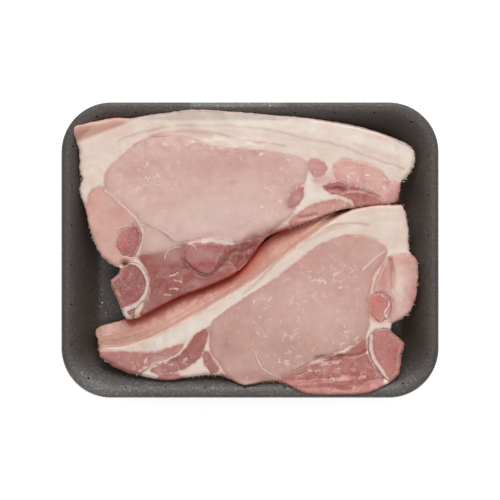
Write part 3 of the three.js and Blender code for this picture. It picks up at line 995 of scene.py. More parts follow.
# %% The lower chop
LOWER = {
    "name": "Lower_Chop",
    "plump": 0.62,
    "tissues": {
        "lower_loin": shown(200, 157, 145),
        "lower_spine_lean": shown(210, 162, 150),
        "lower_tenderloin": shown(170, 90, 80),
        "lower_belly_outer": shown(180, 119, 110),
        "lower_belly_inner": shown(156, 76, 67),
        "lower_belly_strip": shown(184, 112, 104),
        "lower_belly_tip": shown(164, 102, 93),
    },
    "crest": [
        (-99, -62), (-94, -61.5), (-81, -60.3), (-62, -54.5), (-43, -44.5), (-25, -34.5), (-6, -23.5),
        (6, -15.5), (18, -5.5), (34, 6.5), (52, 18.5), (64, 24.5), (80, 27.3), (97, 27.3),
    ],
    "rind": [(-112, 0.3), (-60, 0.4), (-20, 3.0), (50, 3.0), (70, 1.5), (110, 1.0)],
    "fat_strokes": [
        (FAT_LINE, 0.8, 0.75, [
            (-4, -27), (7, -18), (15, -9), (25, -1), (34, 6), (48, 14), (57, 16.5), (67, 17), (74, 16),
        ]),
        (FAT_LINE, 0.8, 0.5, [(30, 0), (40, 8), (52, 13.5), (62, 15)]),
        (FAT_WHITE, 3.5, 0.7, [(-60, -59), (-40, -51), (-20, -40), (0, -29), (10, -22)]),
        (FAT_WHITE, 3.5, 0.7, [(-33, -70), (-28, -67), (-24, -58)]),
        (FAT_PINK, 2.0, 0.5, [(60, 26), (76, 27), (94, 27)]),
        (RIND_ROSE, 0.8, 0.8, [(-95, -62), (-81, -60.8), (-62, -55), (-43, -45), (-25, -35)]),
        (shown(200, 116, 104), 1.6, 0.9, [(17, -81), (27, -77), (36, -72)]),
        (LEAN_DARK, 2.0, 0.9, [(-17, -78), (-13, -80)]),
        (LEAN_DARK, 1.5, 0.8, [(22, -75), (32, -71)]),
        (shown(212, 160, 148), 1.5, 1.0, [
            (74.5, -27.5), (81, -26), (87, -28), (89, -36), (87, -43), (81, -46), (75, -42), (73, -34),
            (74.5, -27.5),
        ]),
        (FAT_WHITE, 2.5, 0.8, [(85, -2), (90, -3), (96, 0)]),
        (shown(202, 140, 130), 1.6, 0.9, [(22, -79), (36, -72.5), (50, -67)]),
    ],
    "lean_dabs": [
        (shown(210, 172, 160), 42, -40, 22, 16, 0.7),
        (shown(184, 140, 124), 18, -62, 26, 12, 0.7),
        # painted shade in the cleft at x 88, over the crease there
        (shown(172, 98, 90), 88, -14, 1.3, 9, 0.9),
        (shown(184, 139, 126), -14, -56, 8, 14, 0.7),
        (shown(172, 126, 110), 3, -79, 16, 6, 0.75),
        (LEAN_ROSE, 38, -8, 24, 7, 0.5),
        (LEAN_ROSE, 57, -50, 3, 3, 0.7),
        (LEAN_ROSE, -8, -48, 8, 12, 0.35),
        (shown(196, 128, 119), 83, -16, 4, 10, 0.8),
        (shown(230, 204, 192), 93, -22, 5, 12, 0.8),
        (shown(190, 120, 112), 101, -30, 3, 8, 0.6),
        (shown(196, 130, 122), 98, -7, 4, 3, 0.6),
        # painted shade in the crease pocket at x 42 to 56
        (LEAN_DEEP, 48, -68, 8, 3, 0.5),
        (LEAN_DARK, 66, -66, 7, 6, 0.4),
        (LEAN_DEEP, -90, -70, 8, 4, 0.5),
    ],
    "membranes": [
        (0.35, [(83.5, -1), (77, -6), (70, -12)]),
        (0.15, [(86.5, -3.5), (81, -16), (78, -22)]),
        (0.3, [(3.5, -65), (5, -69.5), (7.5, -74), (15, -78)]),
        (0.25, [(43, -71), (49, -71), (56, -70)]),
        (0.4, [(-69, -75.5), (-60, -71), (-50, -68), (-43, -64), (-40, -58)]),
        (0.1, [(30, -78), (38, -75.5), (46, -75)]),
    ],
    "flecks": [
        (14, -40, 22, 20), (52, -20, 20, 14), (20, -66, 16, 10), (60, -52, 12, 10), (50, -76, 24, 8, 0.8),
        (-56, -70, 24, 6),
    ],
    "wet": [
        (56, -76, 30, 12, 1.0), (88, -60, 10, 14, 0.7), (-60, -72, 30, 8, 0.5), (94, -24, 10, 20, 0.6),
        (40, 4, 24, 4, 0.4),
    ],
    "dents": [
        (57, -82, 12, 3, 0.8),
        (-92, -64, 6, 3, -0.8),
        (62, -78, 5, 3, 0.8),
    ],
    "creases": [
        (1.4, -2.0, [(42, -67.5), (48, -68), (56, -66.5)]),
        (1.5, 0.8, [(30, -84), (50, -82), (72, -80)]),
        (1.0, -0.8, [(58, -66), (68, -66), (74, -62)]),
        (0.9, -1.8, [(87.5, -6), (89.5, -15), (88.5, -24)]),
    ],
    "ragged": [(-97, -56, 5, 8), (104, -12, 8, 24), (96, -58, 6, 8), (-90, -70, 8, 5)],
}


# %% Which tissue, how far from its edge, and what colour
def tissue_fields(plan, chop, outlines, shared):
    """Signed distance into the lean, and the lean's colour blended from the nearest muscles."""
    lean = np.full(len(plan), -9.0)
    weights = np.full(len(plan), 1e-9)
    colours = np.zeros((len(plan), 3))
    for node, colour in chop["tissues"].items():
        starts, ends = outlines[node]
        inner = shared[node]
        gap = distance_to(plan, starts[inner], ends[inner])
        signed = np.where(is_inside(plan, starts, ends), gap, -gap)
        lean = np.maximum(lean, signed)
        weight = np.exp(np.clip(signed, -12, 3) / 0.8)
        weights += weight
        colours += weight[:, None] * np.array(colour[:3])
    return lean + 0.6, colours / weights[:, None]


def membrane_field(plan, chop):
    """Distance to the nearest sheet of membrane, negative within its thickness."""
    field = np.full(len(plan), 9.0)
    for thickness, points in chop["membranes"]:
        field = np.minimum(field, distance_to(plan, *smooth_line(points)) - thickness)
    return field


def beyond_crest(places, chop):
    """How far each place lies beyond the crest where the rind begins, in mm."""
    crest = np.array(chop["crest"])
    return places[:, 1] - np.interp(places[:, 0], crest[:, 0], crest[:, 1])


def rind_field(places, chop):
    """The same, counted in widths of the change from fat to rind."""
    widths = np.array(chop["rind"])
    return beyond_crest(places, chop) / np.interp(places[:, 0], widths[:, 0], widths[:, 1])


def spots_field(plan, spots, least):
    """The strongest of the spots at each place, and never under `least`."""
    field = np.full(len(plan), least)
    for x, y, reach_x, reach_y, *strength in spots:
        field = np.maximum(field, dab_mask(plan, x, y, reach_x, reach_y) * (strength or [1.0])[0])
    return field


# %% Relief: muscles bulge, seams sink, edges fray. All heights in mm
BULGE = 0.4
SEAM_DEPTH = 0.16
SHEET_HEIGHT = 0.25
BROAD_RELIEF = 0.6
MIDDLE_RELIEF = 0.22
WET_RELIEF = 0.7
CUT_LEVEL = 22.5


def shape_skin(places, normals, lean, membrane, chop):
    """The skin's places in mm with its relief added."""
    plan = places[:, :2]
    up = np.clip((normals[:, 2] - 0.2) / 0.6, 0, 1)
    side = 1 - np.abs(normals[:, 2])
    bulge = BULGE * (1 - np.exp(-np.maximum(lean, 0) / 3)) - SEAM_DEPTH * np.exp(-((lean / 0.6) ** 2))
    sheet = SHEET_HEIGHT * np.exp(-((np.maximum(membrane, 0) / 0.5) ** 2))
    lift = bulge + sheet
    for x, y, reach_x, reach_y, rise in chop["dents"]:
        lift = lift + rise * dab_mask(plan, x, y, reach_x, reach_y)
    for width, rise, points in chop["creases"]:
        lift = lift + rise * stroke_mask(plan, width, points)
    lean_back = np.clip(beyond_crest(places, chop) / 5, 0, 1) * np.clip(normals[:, 2] / 0.3, 0, 1)
    plump = chop["plump"] * lean_back * (CUT_LEVEL - np.minimum(places[:, 2], CUT_LEVEL))
    lift = lift + BROAD_RELIEF * wobble(places, 16, 5) + MIDDLE_RELIEF * wobble(places, 5, 6)
    lift = lift + WET_RELIEF * spots_field(plan, chop["wet"], 0.1) * wobble(places, 3.2, 41)
    ragged = spots_field(plan, chop["ragged"], 0.0)
    swell = side * (0.3 + 0.9 * ragged)
    push = swell * (wobble(places * [1, 1, 0.4], 3.2, 7) + 0.6 * wobble(places * [1, 1, 0.5], 1.3, 8))
    moved = places + normals * push[:, None]
    moved[:, 2] += lift * up + plump
    return moved


# %% Colour of the lean, the fat and the rind
def flat(plan):
    return np.c_[plan, np.zeros(len(plan))]


def lean_colours(layer, plan, chop, lean, rough):
    """Clouds of paler and rosier lean, a rosy rim where a muscle meets fat, and the dabs."""
    patch = wobble(flat(plan), 4.5, 13) * (0.35 + 0.65 * rough)
    tint(layer, np.clip(patch, 0, 1) * 0.5, LEAN_PALE)
    tint(layer, np.clip(-patch, 0, 1) * 0.55, LEAN_DARK)
    cloud = wobble(flat(plan), 15, 12)
    tint(layer, np.clip(cloud, 0, 1) * (0.5 - 0.25 * rough), LEAN_PALE)
    tint(layer, np.clip(-cloud, 0, 1) * 0.35, LEAN_ROSE)
    for colour, x, y, reach_x, reach_y, strength in chop["lean_dabs"]:
        tint(layer, strength * dab_mask(plan, x, y, reach_x, reach_y), colour)
    tint(layer, 0.3 * np.exp(-np.maximum(lean, 0) / 1.5), LEAN_DARK)
    return layer


def fat_colours(plan, chop, lean):
    """Layers that run along the rind, pinker seams, paler clouds, and the strokes."""
    layer = np.tile(np.array(FAT[:3]), (len(plan), 1))
    layers = wobble(np.c_[plan[:, 0] * 0.05, beyond_crest(plan, chop) * 0.75, plan[:, 0] * 0], 1, 22)
    tint(layer, np.clip(layers, 0, 1) * 0.55, FAT_WHITE)
    tint(layer, np.clip(-layers - 0.1, 0, 1) * 0.6, FAT_PINK)
    tint(layer, 0.4 * (0.5 + wobble(flat(plan), 12, 11)), FAT_WHITE)
    patchy = np.clip(0.6 + 0.9 * wobble(flat(plan), 9, 23), 0, 1)
    seams = np.exp(-((np.minimum(lean, 0) / 0.9) ** 2)) * patchy
    tint(layer, 0.8 * seams, FAT_SEAM)
    broken = np.clip(0.75 + 0.7 * wobble(flat(plan), 10, 21), 0.1, 1.1)
    for colour, width, strength, points in chop["fat_strokes"]:
        tint(layer, strength * broken * stroke_mask(plan, width, points), colour)
    return layer


def rind_colours(places, chop, gap):
    """Peach at the left. Greyer along the upper chop's top edge. Beside the upper chop, a red flush and
    painted shade.
    """
    layer = np.tile(np.array(RIND[:3]), (len(places), 1))
    if chop is UPPER:
        tint(layer, np.clip((places[:, 0] + 80) / 12, 0, 1), RIND_GREY)
        tint(layer, 0.5 * stroke_mask(places[:, :2], 2.0, [(-109, 75), (-90, 80.5), (-76, 81)]), FAT_PINK)
    else:
        tint(layer, np.clip((places[:, 0] + 76) / 30, 0, 1), RIND_ROSE)
        # The flush is bloody juice on the rind; its deepest red, nearest the gap, is also painted shade.
        fade = 1 - np.clip((places[:, 0] - 24) / 18, 0, 1)
        width = 8.5 + 3 * np.clip(places[:, 0] / 12, 0, 1)
        tint(layer, 0.9 * fade * np.exp(-((gap / width) ** 2)), FLUSH)
        tint(layer, 0.6 * fade * np.exp(-((gap / 3.2) ** 2)), FLUSH_AND_SHADE)
    return layer


def blood_and_shade_field(places, gap):
    """Dark red by the other chop: bloody juice, with painted shade lower in the gap, and less towards the
    right.
    """
    deep = np.clip((CUT_LEVEL + 1 - places[:, 2]) / 6, 0, 1)
    thin = 1 - 0.85 * np.clip((places[:, 0] - 5) / 35, 0, 1)
    return np.clip(thin * np.exp(-gap / 1.6) * (0.45 + deep), 0, 0.85)


# %% Store what the material reads
def store(mesh, name, values):
    kind = "FLOAT" if values.ndim == 1 else "FLOAT_COLOR"
    attribute = mesh.attributes.new(name, kind, "POINT")
    if values.ndim == 1:
        attribute.data.foreach_set("value", values.astype(np.float32))
    else:
        with_alpha = np.c_[values, np.ones(len(values))]
        attribute.data.foreach_set("color", with_alpha.astype(np.float32).ravel())


# %% [markdown]
# ## The meat's material
# Raw pork is wet, slightly see-through and never one colour. The material reads the distances and
# colours stored on the skin, breaks up every border with noise, so that no seam looks drawn, threads
# fine wisps of fat through the lean, and lays a moist film over it all.

# %% Raw pork
def pork_material():
    material, g, shader, place = new_material("Raw_Pork")
    ragged = g.node("ShaderNodeTexNoise", {"Vector": place, "Scale": 600.0, "Detail": 3.0}).outputs["Fac"]
    swing = g.math("ADD", 1.4, g.math("MULTIPLY", attribute(g, "wet"), 3.0))
    jitter = g.math("MULTIPLY", g.math("SUBTRACT", ragged, 0.5), swing)
    lean = g.ramp(g.math("ADD", attribute(g, "lean"), jitter), -0.6, 0.7)
    membrane_place = g.math("ADD", attribute(g, "membrane"), g.math("MULTIPLY", jitter, 0.5))
    membrane = g.math("SUBTRACT", 1.0, g.ramp(membrane_place, -0.2, 0.45))
    rind = g.ramp(g.math("ADD", attribute(g, "rind"), g.math("MULTIPLY", jitter, 0.4)), -1.0, 1.0)

    muscle = use_group(g, MOTTLE, {"Vector": place, "Scale": 120.0, "Detail": 4.0, "Amount": 0.1})
    lean_colour = toned(g, attribute(g, "lean_colour", "Color"), muscle["Tone"])
    wisps = use_group(g, WISPS, {"Vector": place, "Scale": 100.0, "Width": 0.022, "Share": 0.45})
    flecks = use_group(g, WISPS, {"Vector": place, "Scale": 135.0, "Width": 0.045, "Share": 0.6})
    fleck_mask = g.math("MULTIPLY", flecks["Mask"], attribute(g, "flecks"))
    marbling = g.math("MAXIMUM", g.math("MULTIPLY", wisps["Mask"], 0.3), g.math("MULTIPLY", fleck_mask, 0.9))
    lean_colour = g.blend(marbling, lean_colour, MEMBRANE)

    curd = use_group(g, MOTTLE, {"Vector": place, "Scale": 240.0, "Detail": 4.0, "Amount": 0.08})
    fat_colour = toned(g, attribute(g, "fat_colour", "Color"), curd["Tone"])
    skin = use_group(g, MOTTLE, {"Vector": place, "Scale": 120.0, "Detail": 5.0, "Amount": 0.1})
    rind_colour = toned(g, attribute(g, "rind_colour", "Color"), skin["Tone"])

    colour = g.blend(lean, fat_colour, lean_colour)
    colour = g.blend(g.math("MULTIPLY", membrane, 0.6), colour, MEMBRANE)
    colour = g.blend(rind, colour, rind_colour)
    # dark red by the other chop: bloody juice, and painted shade in the gap between the chops
    colour = g.blend(attribute(g, "blood_and_shade"), colour, BLOOD_AND_SHADE)
    g.feed(shader.inputs["Base Color"], colour)

    film = use_group(g, MOIST, {"Vector": place, "Scale": 260.0, "Driest": 0.5, "Wettest": 0.28})
    g.feed(shader.inputs["Roughness"], film["Roughness"])
    threads = g.math("ADD", g.math("MULTIPLY", marbling, 0.6), film["Height"])
    deeper = g.math("ADD", 1.0, g.math("MULTIPLY", attribute(g, "wet"), 4.0))
    height = g.math("MULTIPLY", threads, deeper)
    bump = g.node("ShaderNodeBump", {"Height": height, "Strength": 0.55, "Distance": 0.0003})
    g.feed(shader.inputs["Normal"], bump.outputs[0])
    greasy = g.math("SUBTRACT", 0.35, g.math("MULTIPLY", lean, 0.22))
    coat = g.math("ADD", greasy, g.math("MULTIPLY", attribute(g, "wet"), 0.6))
    g.feed(shader.inputs["Coat Weight"], coat)
    shader.inputs["Coat Roughness"].default_value = 0.16
    see_through(shader, 0.2, 0.0025)
    return material


pork = pork_material()


# %% Build the chops
def chop_nodes(prefix, bones):
    marks = ("backbone", "process")
    return sorted(n for n in NODES if n.startswith(prefix) and n.endswith(marks) == bones)


def paint_skin(mesh, places, chop, outlines, shared, other_edge):
    """Stores the distances and colours that the material reads. Returns those that shape the skin."""
    low, shape, points = plan_lattice(places)
    settled = pulled_in(points, off_meat(points, outlines), *outer_edge(outlines, shared), 1.6)
    lattice_lean, lattice_colour = tissue_fields(settled, chop, outlines, shared)
    rough = spots_field(places[:, :2], chop["wet"], 0.1)
    drift = np.c_[wobble(places, 6, 1), wobble(places, 6, 2)] * 0.7
    drift += np.c_[wobble(places, 3, 3), wobble(places, 3, 4)] * rough[:, None] * 1.4
    plan = places[:, :2] + drift
    lean = read_lattice(low, shape, lattice_lean, plan)
    lean_colour = read_lattice(low, shape, lattice_colour, plan)
    membrane = membrane_field(plan, chop)
    store(mesh, "lean", lean)
    store(mesh, "membrane", membrane)
    store(mesh, "flecks", spots_field(plan, chop["flecks"], 0.12))
    store(mesh, "wet", rough)
    store(mesh, "rind", rind_field(places, chop))
    gap = distance_to(places[:, :2], *other_edge)
    store(mesh, "blood_and_shade", blood_and_shade_field(places, gap))
    store(mesh, "lean_colour", lean_colours(lean_colour, plan, chop, lean, rough))
    store(mesh, "fat_colour", fat_colours(plan, chop, lean))
    store(mesh, "rind_colour", rind_colours(places, chop, gap))
    return lean, membrane


def build_chop(chop, prefix, other_edge):
    nodes = chop_nodes(prefix, bones=False)
    outlines, shared = OUTLINES[prefix]
    obj = thin_underside(fused_skin(chop["name"], nodes, FINE, 14), chop["name"])
    places = vertex_array(obj.data) / MM
    normals = vertex_array(obj.data, "normal")
    lean, membrane = paint_skin(obj.data, places, chop, outlines, shared, other_edge)
    move_vertices(obj.data, shape_skin(places, normals, lean, membrane, chop) * MM)
    finish_piece(obj, pork, nodes)
    return obj


OUTLINES = {prefix: read_outlines(prefix) for prefix in ("upper_", "lower_")}
upper_chop = build_chop(UPPER, "upper_", outer_edge(*OUTLINES["lower_"]))
lower_chop = build_chop(LOWER, "lower_", outer_edge(*OUTLINES["upper_"]))

# %% [markdown]
# ## Sawn bone
# The saw opens each bone: red marrow behind a web of spongy bone, a pale hard rim, and smooth white
# cartilage where two bones met. The same steps make them as made the meat.

# %% The bones of each chop
UPPER_BONES = {
    "name": "Upper_Bones",
    "marrow": shown(160, 82, 75),
    "dabs": [
        (shown(206, 104, 98), -79.5, 6, 3.2, 5, 0.8),
        (shown(196, 130, 124), -77, 9, 4, 5, 0.5),
        (shown(180, 106, 102), -73, 6, 3, 6, 0.8),
        (shown(150, 84, 82), -79, -28, 7, 7, 0.5),
        (shown(178, 112, 104), -85, -36, 5, 6, 0.5),
    ],
    "cartilage": [
        (1.2, [
            (-74.5, -7.5), (-69, -9), (-64.5, -15.5), (-63, -21.5), (-65.5, -29.5), (-71, -34.5),
            (-78.5, -37.5),
        ]),
        (1.5, [(-79.5, -37.5), (-76.5, -42), (-74, -45)]),
    ],
}
LOWER_BONES = {
    "name": "Lower_Bones",
    "marrow": shown(190, 112, 102),
    "dabs": [
        (shown(212, 112, 104), 78, -32, 5, 7, 0.9),
        (shown(196, 150, 142), 84, -41, 4, 3, 0.7),
        (shown(176, 104, 96), 88, -54, 6, 4, 0.6),
        (shown(150, 62, 56), 92, -66, 5, 8, 0.6),
        (shown(178, 110, 100), 82, -62, 4, 8, 0.4),
    ],
    "cartilage": [
        (1.0, [(75.5, -53.5), (75, -62), (77.5, -69), (82, -75), (85, -80)]),
        (0.4, [(82, -28.5), (86, -31), (87, -34.5), (83, -39), (86, -43)]),
    ],
}


# %% Sawn bone's material
def bone_material():
    material, g, shader, place = new_material("Sawn_Bone")
    mottle = use_group(g, MOTTLE, {"Vector": place, "Scale": 260.0, "Detail": 5.0, "Amount": 0.3})
    marrow = toned(g, attribute(g, "marrow_colour", "Color"), mottle["Tone"])
    patches = g.node("ShaderNodeTexNoise", {"Vector": place, "Scale": 300.0, "Detail": 2.0})
    waver = g.math("SUBTRACT", patches.outputs["Fac"], 0.5)
    threads = use_group(g, WISPS, {"Vector": place, "Scale": 520.0, "Width": 0.09, "Share": 0.8})
    web = g.math("MULTIPLY", threads["Mask"], g.ramp(patches.outputs["Fac"], 0.4, 0.6))
    colour = g.blend(g.math("MULTIPLY", web, 0.4), marrow, CARTILAGE)
    edge = g.math("ADD", attribute(g, "rim"), g.math("MULTIPLY", waver, 3.0))
    hard = g.math("SUBTRACT", 1.0, g.ramp(edge, 0.1, 1.2))
    colour = g.blend(g.math("MULTIPLY", hard, 0.5), colour, shown(212, 170, 158))
    band = g.math("ADD", attribute(g, "cartilage"), g.math("MULTIPLY", waver, 1.2))
    gristle = g.math("SUBTRACT", 1.0, g.ramp(band, -0.3, 0.5))
    colour = g.blend(g.math("MULTIPLY", gristle, 0.75), colour, CARTILAGE)
    g.feed(shader.inputs["Base Color"], colour)
    film = use_group(g, MOIST, {"Vector": place, "Scale": 600.0, "Driest": 0.5, "Wettest": 0.28})
    g.feed(shader.inputs["Roughness"], film["Roughness"])
    height = g.math("ADD", film["Height"], web)
    bump = g.node("ShaderNodeBump", {"Height": height, "Strength": 0.7, "Distance": 0.0004})
    g.feed(shader.inputs["Normal"], bump.outputs[0])
    see_through(shader, 0.15, 0.002)
    shader.inputs["Coat Weight"].default_value = 0.3
    shader.inputs["Coat Roughness"].default_value = 0.18
    return material


# %% Build the bones
bone = bone_material()


def build_bones(bones, prefix):
    nodes = chop_nodes(prefix, bones=True)
    outlines = OUTLINES[prefix][0]
    obj = fused_skin(bones["name"], nodes, FINE, 4)
    mesh = obj.data
    places = vertex_array(mesh) / MM
    normals = vertex_array(mesh, "normal")
    plan = places[:, :2]
    rim = np.full(len(plan), 9.0)
    for node in nodes:
        rim = np.minimum(rim, distance_to(plan, *outlines[node]))
    cartilage = np.full(len(plan), 9.0)
    for half_width, points in bones["cartilage"]:
        cartilage = np.minimum(cartilage, distance_to(plan, *smooth_line(points)) - half_width)
    marrow = np.tile(np.array(bones["marrow"][:3]), (len(plan), 1))
    for colour, x, y, reach_x, reach_y, strength in bones["dabs"]:
        tint(marrow, strength * dab_mask(plan, x, y, reach_x, reach_y), colour)
    store(mesh, "rim", rim)
    store(mesh, "cartilage", cartilage)
    store(mesh, "marrow_colour", marrow)
    up = np.clip((normals[:, 2] - 0.2) / 0.6, 0, 1)
    lift = 0.5 * np.exp(-((np.maximum(cartilage, 0) / 0.5) ** 2)) - 0.3 * np.clip(rim / 2, 0, 1)
    lift += 0.3 * wobble(places, 4, 31) + 0.15 * wobble(places, 1.6, 32)
    places[:, 2] += lift * up
    places[:, :2] += normals[:, :2] * (0.3 * wobble(places, 2.5, 33))[:, None]
    move_vertices(mesh, places * MM)
    finish_piece(obj, bone, nodes)
    return obj


build_bones(UPPER_BONES, "upper_")
build_bones(LOWER_BONES, "lower_")

# %% [markdown]
# ## Frayed edges and scraps
# A knife leaves threads of fat and sinew hanging from the meat's edges, and a few scraps on the foam.
# One tree grows tapered strands along a path: the paths follow the torn stretches of each chop.

# %% The tree that grows strands along a path
def strand_material():
    material, g, shader, place = new_material("Torn_Sinew")
    tone = use_group(g, MOTTLE, {"Vector": place, "Scale": 180.0, "Detail": 3.0, "Amount": 0.5})
    redder = g.ramp(tone["Tone"], 0.85, 1.15)
    colour = g.blend(redder, shown(204, 148, 134), FAT)
    g.feed(shader.inputs["Base Color"], colour)
    film = use_group(g, MOIST, {"Vector": place, "Scale": 700.0, "Driest": 0.5, "Wettest": 0.3})
    g.feed(shader.inputs["Roughness"], film["Roughness"])
    see_through(shader, 0.2, 0.001)
    return material


def strands_tree(material):
    inputs = [
        ("Path", "NodeSocketObject", None),
        ("Pitch", "NodeSocketFloat", 1.2 * MM),
        ("Strand Length", "NodeSocketFloat", 2 * MM),
        ("Strand Radius", "NodeSocketFloat", 0.25 * MM),
        ("Heading", "NodeSocketFloat", 0.0),
        ("Spread", "NodeSocketFloat", 0.8),
        ("Seed", "NodeSocketInt", 1),
    ]
    tree, g, entry = geometry_tree("Torn_Strands", inputs)
    value = entry.outputs
    path = g.node("GeometryNodeObjectInfo", {"Object": value["Path"]})
    points = g.node("GeometryNodeResampleCurve", mode="LENGTH")
    g.feed(points.inputs["Curve"], path.outputs["Geometry"])
    g.feed(points.inputs["Length"], value["Pitch"])

    length = value["Strand Length"]
    bend = g.node(
        "ShaderNodeCombineXYZ",
        {"X": g.math("MULTIPLY", length, 0.6), "Z": g.math("MULTIPLY", length, 0.15)},
    )
    tip = g.node("ShaderNodeCombineXYZ", {
        "X": length,
        "Y": g.math("MULTIPLY", length, 0.3),
        "Z": g.math("MULTIPLY", length, -0.35),
    })
    line = g.node("GeometryNodeCurveQuadraticBezier", {"Resolution": 5})
    line.inputs["Start"].default_value = (0, 0, 0)
    g.feed(line.inputs["Middle"], bend.outputs[0])
    g.feed(line.inputs["End"], tip.outputs[0])
    along = g.node("GeometryNodeSplineParameter").outputs["Factor"]
    taper = g.math("SUBTRACT", 1.0, g.math("MULTIPLY", along, 0.75))
    tapered = g.node("GeometryNodeSetCurveRadius", {"Curve": line.outputs[0], "Radius": taper})
    ring = g.node(
        "GeometryNodeCurvePrimitiveCircle",
        {"Resolution": 6, "Radius": value["Strand Radius"]},
    )
    strand = g.node(
        "GeometryNodeCurveToMesh",
        {"Curve": tapered.outputs[0], "Profile Curve": ring.outputs[0]},
    )
    g.feed(strand.inputs["Fill Caps"], True)
    g.feed(strand.inputs["Scale"], taper)

    swing = g.math("MULTIPLY", value["Spread"], g.chance(-1, 1, value["Seed"]))
    turn = g.math("ADD", value["Heading"], swing)
    dip = g.chance(-0.3, 0.5, g.math("ADD", value["Seed"], 1))
    rotation = g.node("ShaderNodeCombineXYZ", {"Y": dip, "Z": turn})
    size = g.chance(0.4, 1.3, g.math("ADD", value["Seed"], 2))
    placed = g.node(
        "GeometryNodeInstanceOnPoints",
        {"Points": points.outputs[0], "Instance": strand.outputs[0]},
    )
    g.feed(placed.inputs["Rotation"], rotation.outputs[0])
    g.feed(placed.inputs["Scale"], size)
    end_tree(g, placed.outputs[0], material)
    return tree


# %% Where the edges are torn: name, heading in degrees, strand length, pitch, path
STRAND_RADIUS = 0.24
STRAND_SPREAD = 0.8
TORN_EDGES = [
    ("Left_Fat", 185, 1.8, 0.9, [(-105.5, 56), (-105.4, 50), (-104.2, 44), (-105.5, 38), (-104, 33)]),
    ("Left_Lean", 200, 1.4, 1.3, [(-100.5, 20), (-98, 8), (-93, -2), (-88, -7)]),
    ("Tail_Right", -20, 1.8, 1.0, [(102, 60), (102, 56), (99, 48), (95, 42)]),
    ("Tail_Front", -70, 1.6, 1.2, [(90, 32), (76, 28.6), (62, 26.4)]),
    ("Belly_Front", -60, 1.8, 1.0, [(52, 24.5), (39, 19.5), (24, 14)]),
    ("Lower_Top_Corner", 60, 1.8, 1.2, [(84, 27.5), (91, 27.5), (95, 27)]),
    ("Lower_Right_Fat", 0, 1.5, 1.3, [(96.5, 22), (98.5, 10), (98.8, 0)]),
    ("Lower_Right_Lean", -5, 2.0, 0.9, [(103.3, -8), (103.5, -25), (100, -37), (94, -43)]),
    ("Lower_Bone_Corner", -20, 1.8, 1.0, [(95.5, -58), (93.8, -66), (92.5, -76)]),
    ("Lower_Left_End", 190, 2.0, 0.9, [(-93.5, -60), (-93.5, -66), (-88, -70.5)]),
    ("Lower_Belly_Edge", -90, 1.3, 1.6, [(-75, -76.5), (-51, -80.5), (-37, -78.5), (-20, -77.5)]),
    ("Lower_Loin_Edge", -90, 1.3, 1.6, [(-4, -83.5), (8, -81.8), (19, -81.8), (30, -86.5)]),
]


def path_on(skin, name, points):
    """A curve through the points, laid on top of a skin."""
    places = vertex_array(skin.data) / MM
    curve = bpy.data.curves.new(name, "CURVE")
    curve.dimensions = "3D"
    line = np.concatenate([smooth_line(points)[0], [points[-1]]])
    spline = curve.splines.new("POLY")
    spline.points.add(len(line) - 1)
    for point, (x, y) in zip(spline.points, line):
        near = np.hypot(places[:, 0] - x, places[:, 1] - y) < 1.5
        top = places[near, 2].max() if near.any() else 15.0
        point.co = (x * MM, y * MM, (top - 1.2) * MM, 1)
    return make_object(name, curve)


def build_strands():
    material = strand_material()
    tree = strands_tree(material)
    for seed, (name, heading, length, pitch, points) in enumerate(TORN_EDGES):
        skin = lower_chop if name.startswith("Lower") else upper_chop
        path = path_on(skin, name, points)
        values = {
            "Path": path,
            "Pitch": pitch * MM,
            "Strand Length": length * MM,
            "Strand Radius": STRAND_RADIUS * MM,
            "Heading": math.radians(heading),
            "Spread": STRAND_SPREAD,
            "Seed": seed * 5,
        }
        obj = run_tree(tree, f"Strands_{name}", values)
        bpy.data.objects.remove(path)
        finish_piece(obj, material, [])
    return material


sinew = build_strands()

# %% Scraps on the foam: x, y and radius
SCRAPS = [(-93.5, -33.5, 0.6), (-94.5, -36, 0.4), (-91, -39.5, 0.5), (-102, -64, 0.5), (-86, -22, 0.35)]


def build_scraps():
    shape = bmesh.new()
    for x, y, radius in SCRAPS:
        inward = min(TRAY_LENGTH / 2 - abs(x), TRAY_WIDTH / 2 - abs(y))
        middle = Vector((x, y, inner_height(inward) + radius * 0.5)) * MM
        ball = bmesh.ops.create_icosphere(shape, subdivisions=2, radius=radius * MM)
        for vertex in ball["verts"]:
            vertex.co *= 1 + 0.5 * noise.noise(vertex.co / (0.4 * MM) + Vector((x, y, 0)))
            vertex.co.z *= 0.7
            vertex.co += middle
    mesh = bpy.data.meshes.new("Scraps")
    shape.to_mesh(mesh)
    shape.free()
    finish_piece(make_object("Scraps", mesh), sinew, [])


build_scraps()

# %% [markdown]
# ## The studio
# The pack lies on a white table and is seen from straight above. A big soft light stands behind it,
# so the front wall and corners catch a sheen and the shadows fall forwards. A weaker one above the
# front reaches into the gap between the chops, and the white room fills the rest. The long lens keeps
# the walls nearly upright.

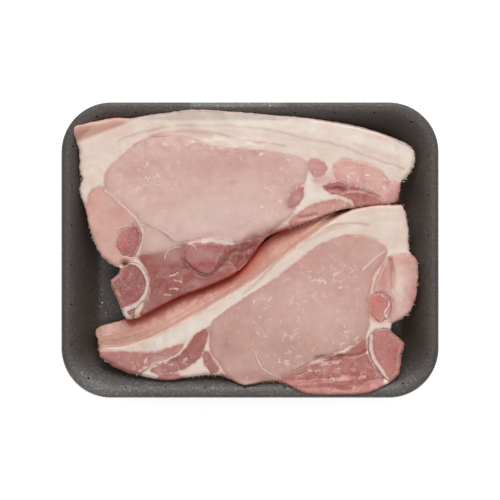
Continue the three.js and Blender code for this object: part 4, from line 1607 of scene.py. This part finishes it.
# %% The table, the room and the lights
KEY_WATTS = 12.5
FILL_WATTS = 4.0
ROOM_STRENGTH = 0.42
TABLE_SIDE = 4.0
CAMERA_HEIGHT = 1.3
PICTURE_WIDTH = 0.311


def table_top():
    half = TABLE_SIDE / 2
    mesh = bpy.data.meshes.new("Table_Top")
    corners = [(-half, -half, 0), (half, -half, 0), (half, half, 0), (-half, half, 0)]
    mesh.from_pydata(corners, [], [(0, 1, 2, 3)])
    obj = make_object("Table_Top", mesh)
    material = bpy.data.materials.new("White_Table")
    material.use_nodes = True
    shader = material.node_tree.nodes["Principled BSDF"]
    shader.inputs["Base Color"].default_value = (0.95, 0.95, 0.95, 1)
    shader.inputs["Roughness"].default_value = 0.9
    shader.inputs["Specular IOR Level"].default_value = 0.1
    shader.inputs["Emission Color"].default_value = (1, 1, 1, 1)
    shader.inputs["Emission Strength"].default_value = 0.55
    mesh.materials.append(material)
    return obj


def soft_light(name, watts, size, place, aim):
    light = bpy.data.lights.new(name, "AREA")
    light.shape = "RECTANGLE"
    light.size, light.size_y = size
    light.energy = watts
    obj = make_object(name, light)
    obj.location = place
    obj.rotation_euler = (Vector(aim) - Vector(place)).to_track_quat("-Z", "Y").to_euler()
    return obj


def build_studio():
    scene = bpy.context.scene
    scene.view_settings.view_transform = "Standard"
    world = bpy.data.worlds.new("White_Room")
    world.use_nodes = True
    world.node_tree.nodes["Background"].inputs["Color"].default_value = (1, 1, 1, 1)
    world.node_tree.nodes["Background"].inputs["Strength"].default_value = ROOM_STRENGTH
    scene.world = world
    key = soft_light("Key_Light", KEY_WATTS, (1.3, 0.9), (0.05, 0.95, 0.85), (0, 0, 0))
    fill = soft_light("Fill_Light", FILL_WATTS, (0.8, 0.8), (0.1, -0.45, 1.5), (0, 0, 0))
    table_top()

    lens = bpy.data.cameras.new("Overhead_Camera")
    lens.lens = lens.sensor_width * (CAMERA_HEIGHT - TRAY_HEIGHT * MM) / PICTURE_WIDTH
    camera = make_object("Overhead_Camera", lens)
    camera.location = (0, 0, CAMERA_HEIGHT)
    scene.camera = camera
    print("lens in mm:", round(lens.lens))


build_studio()
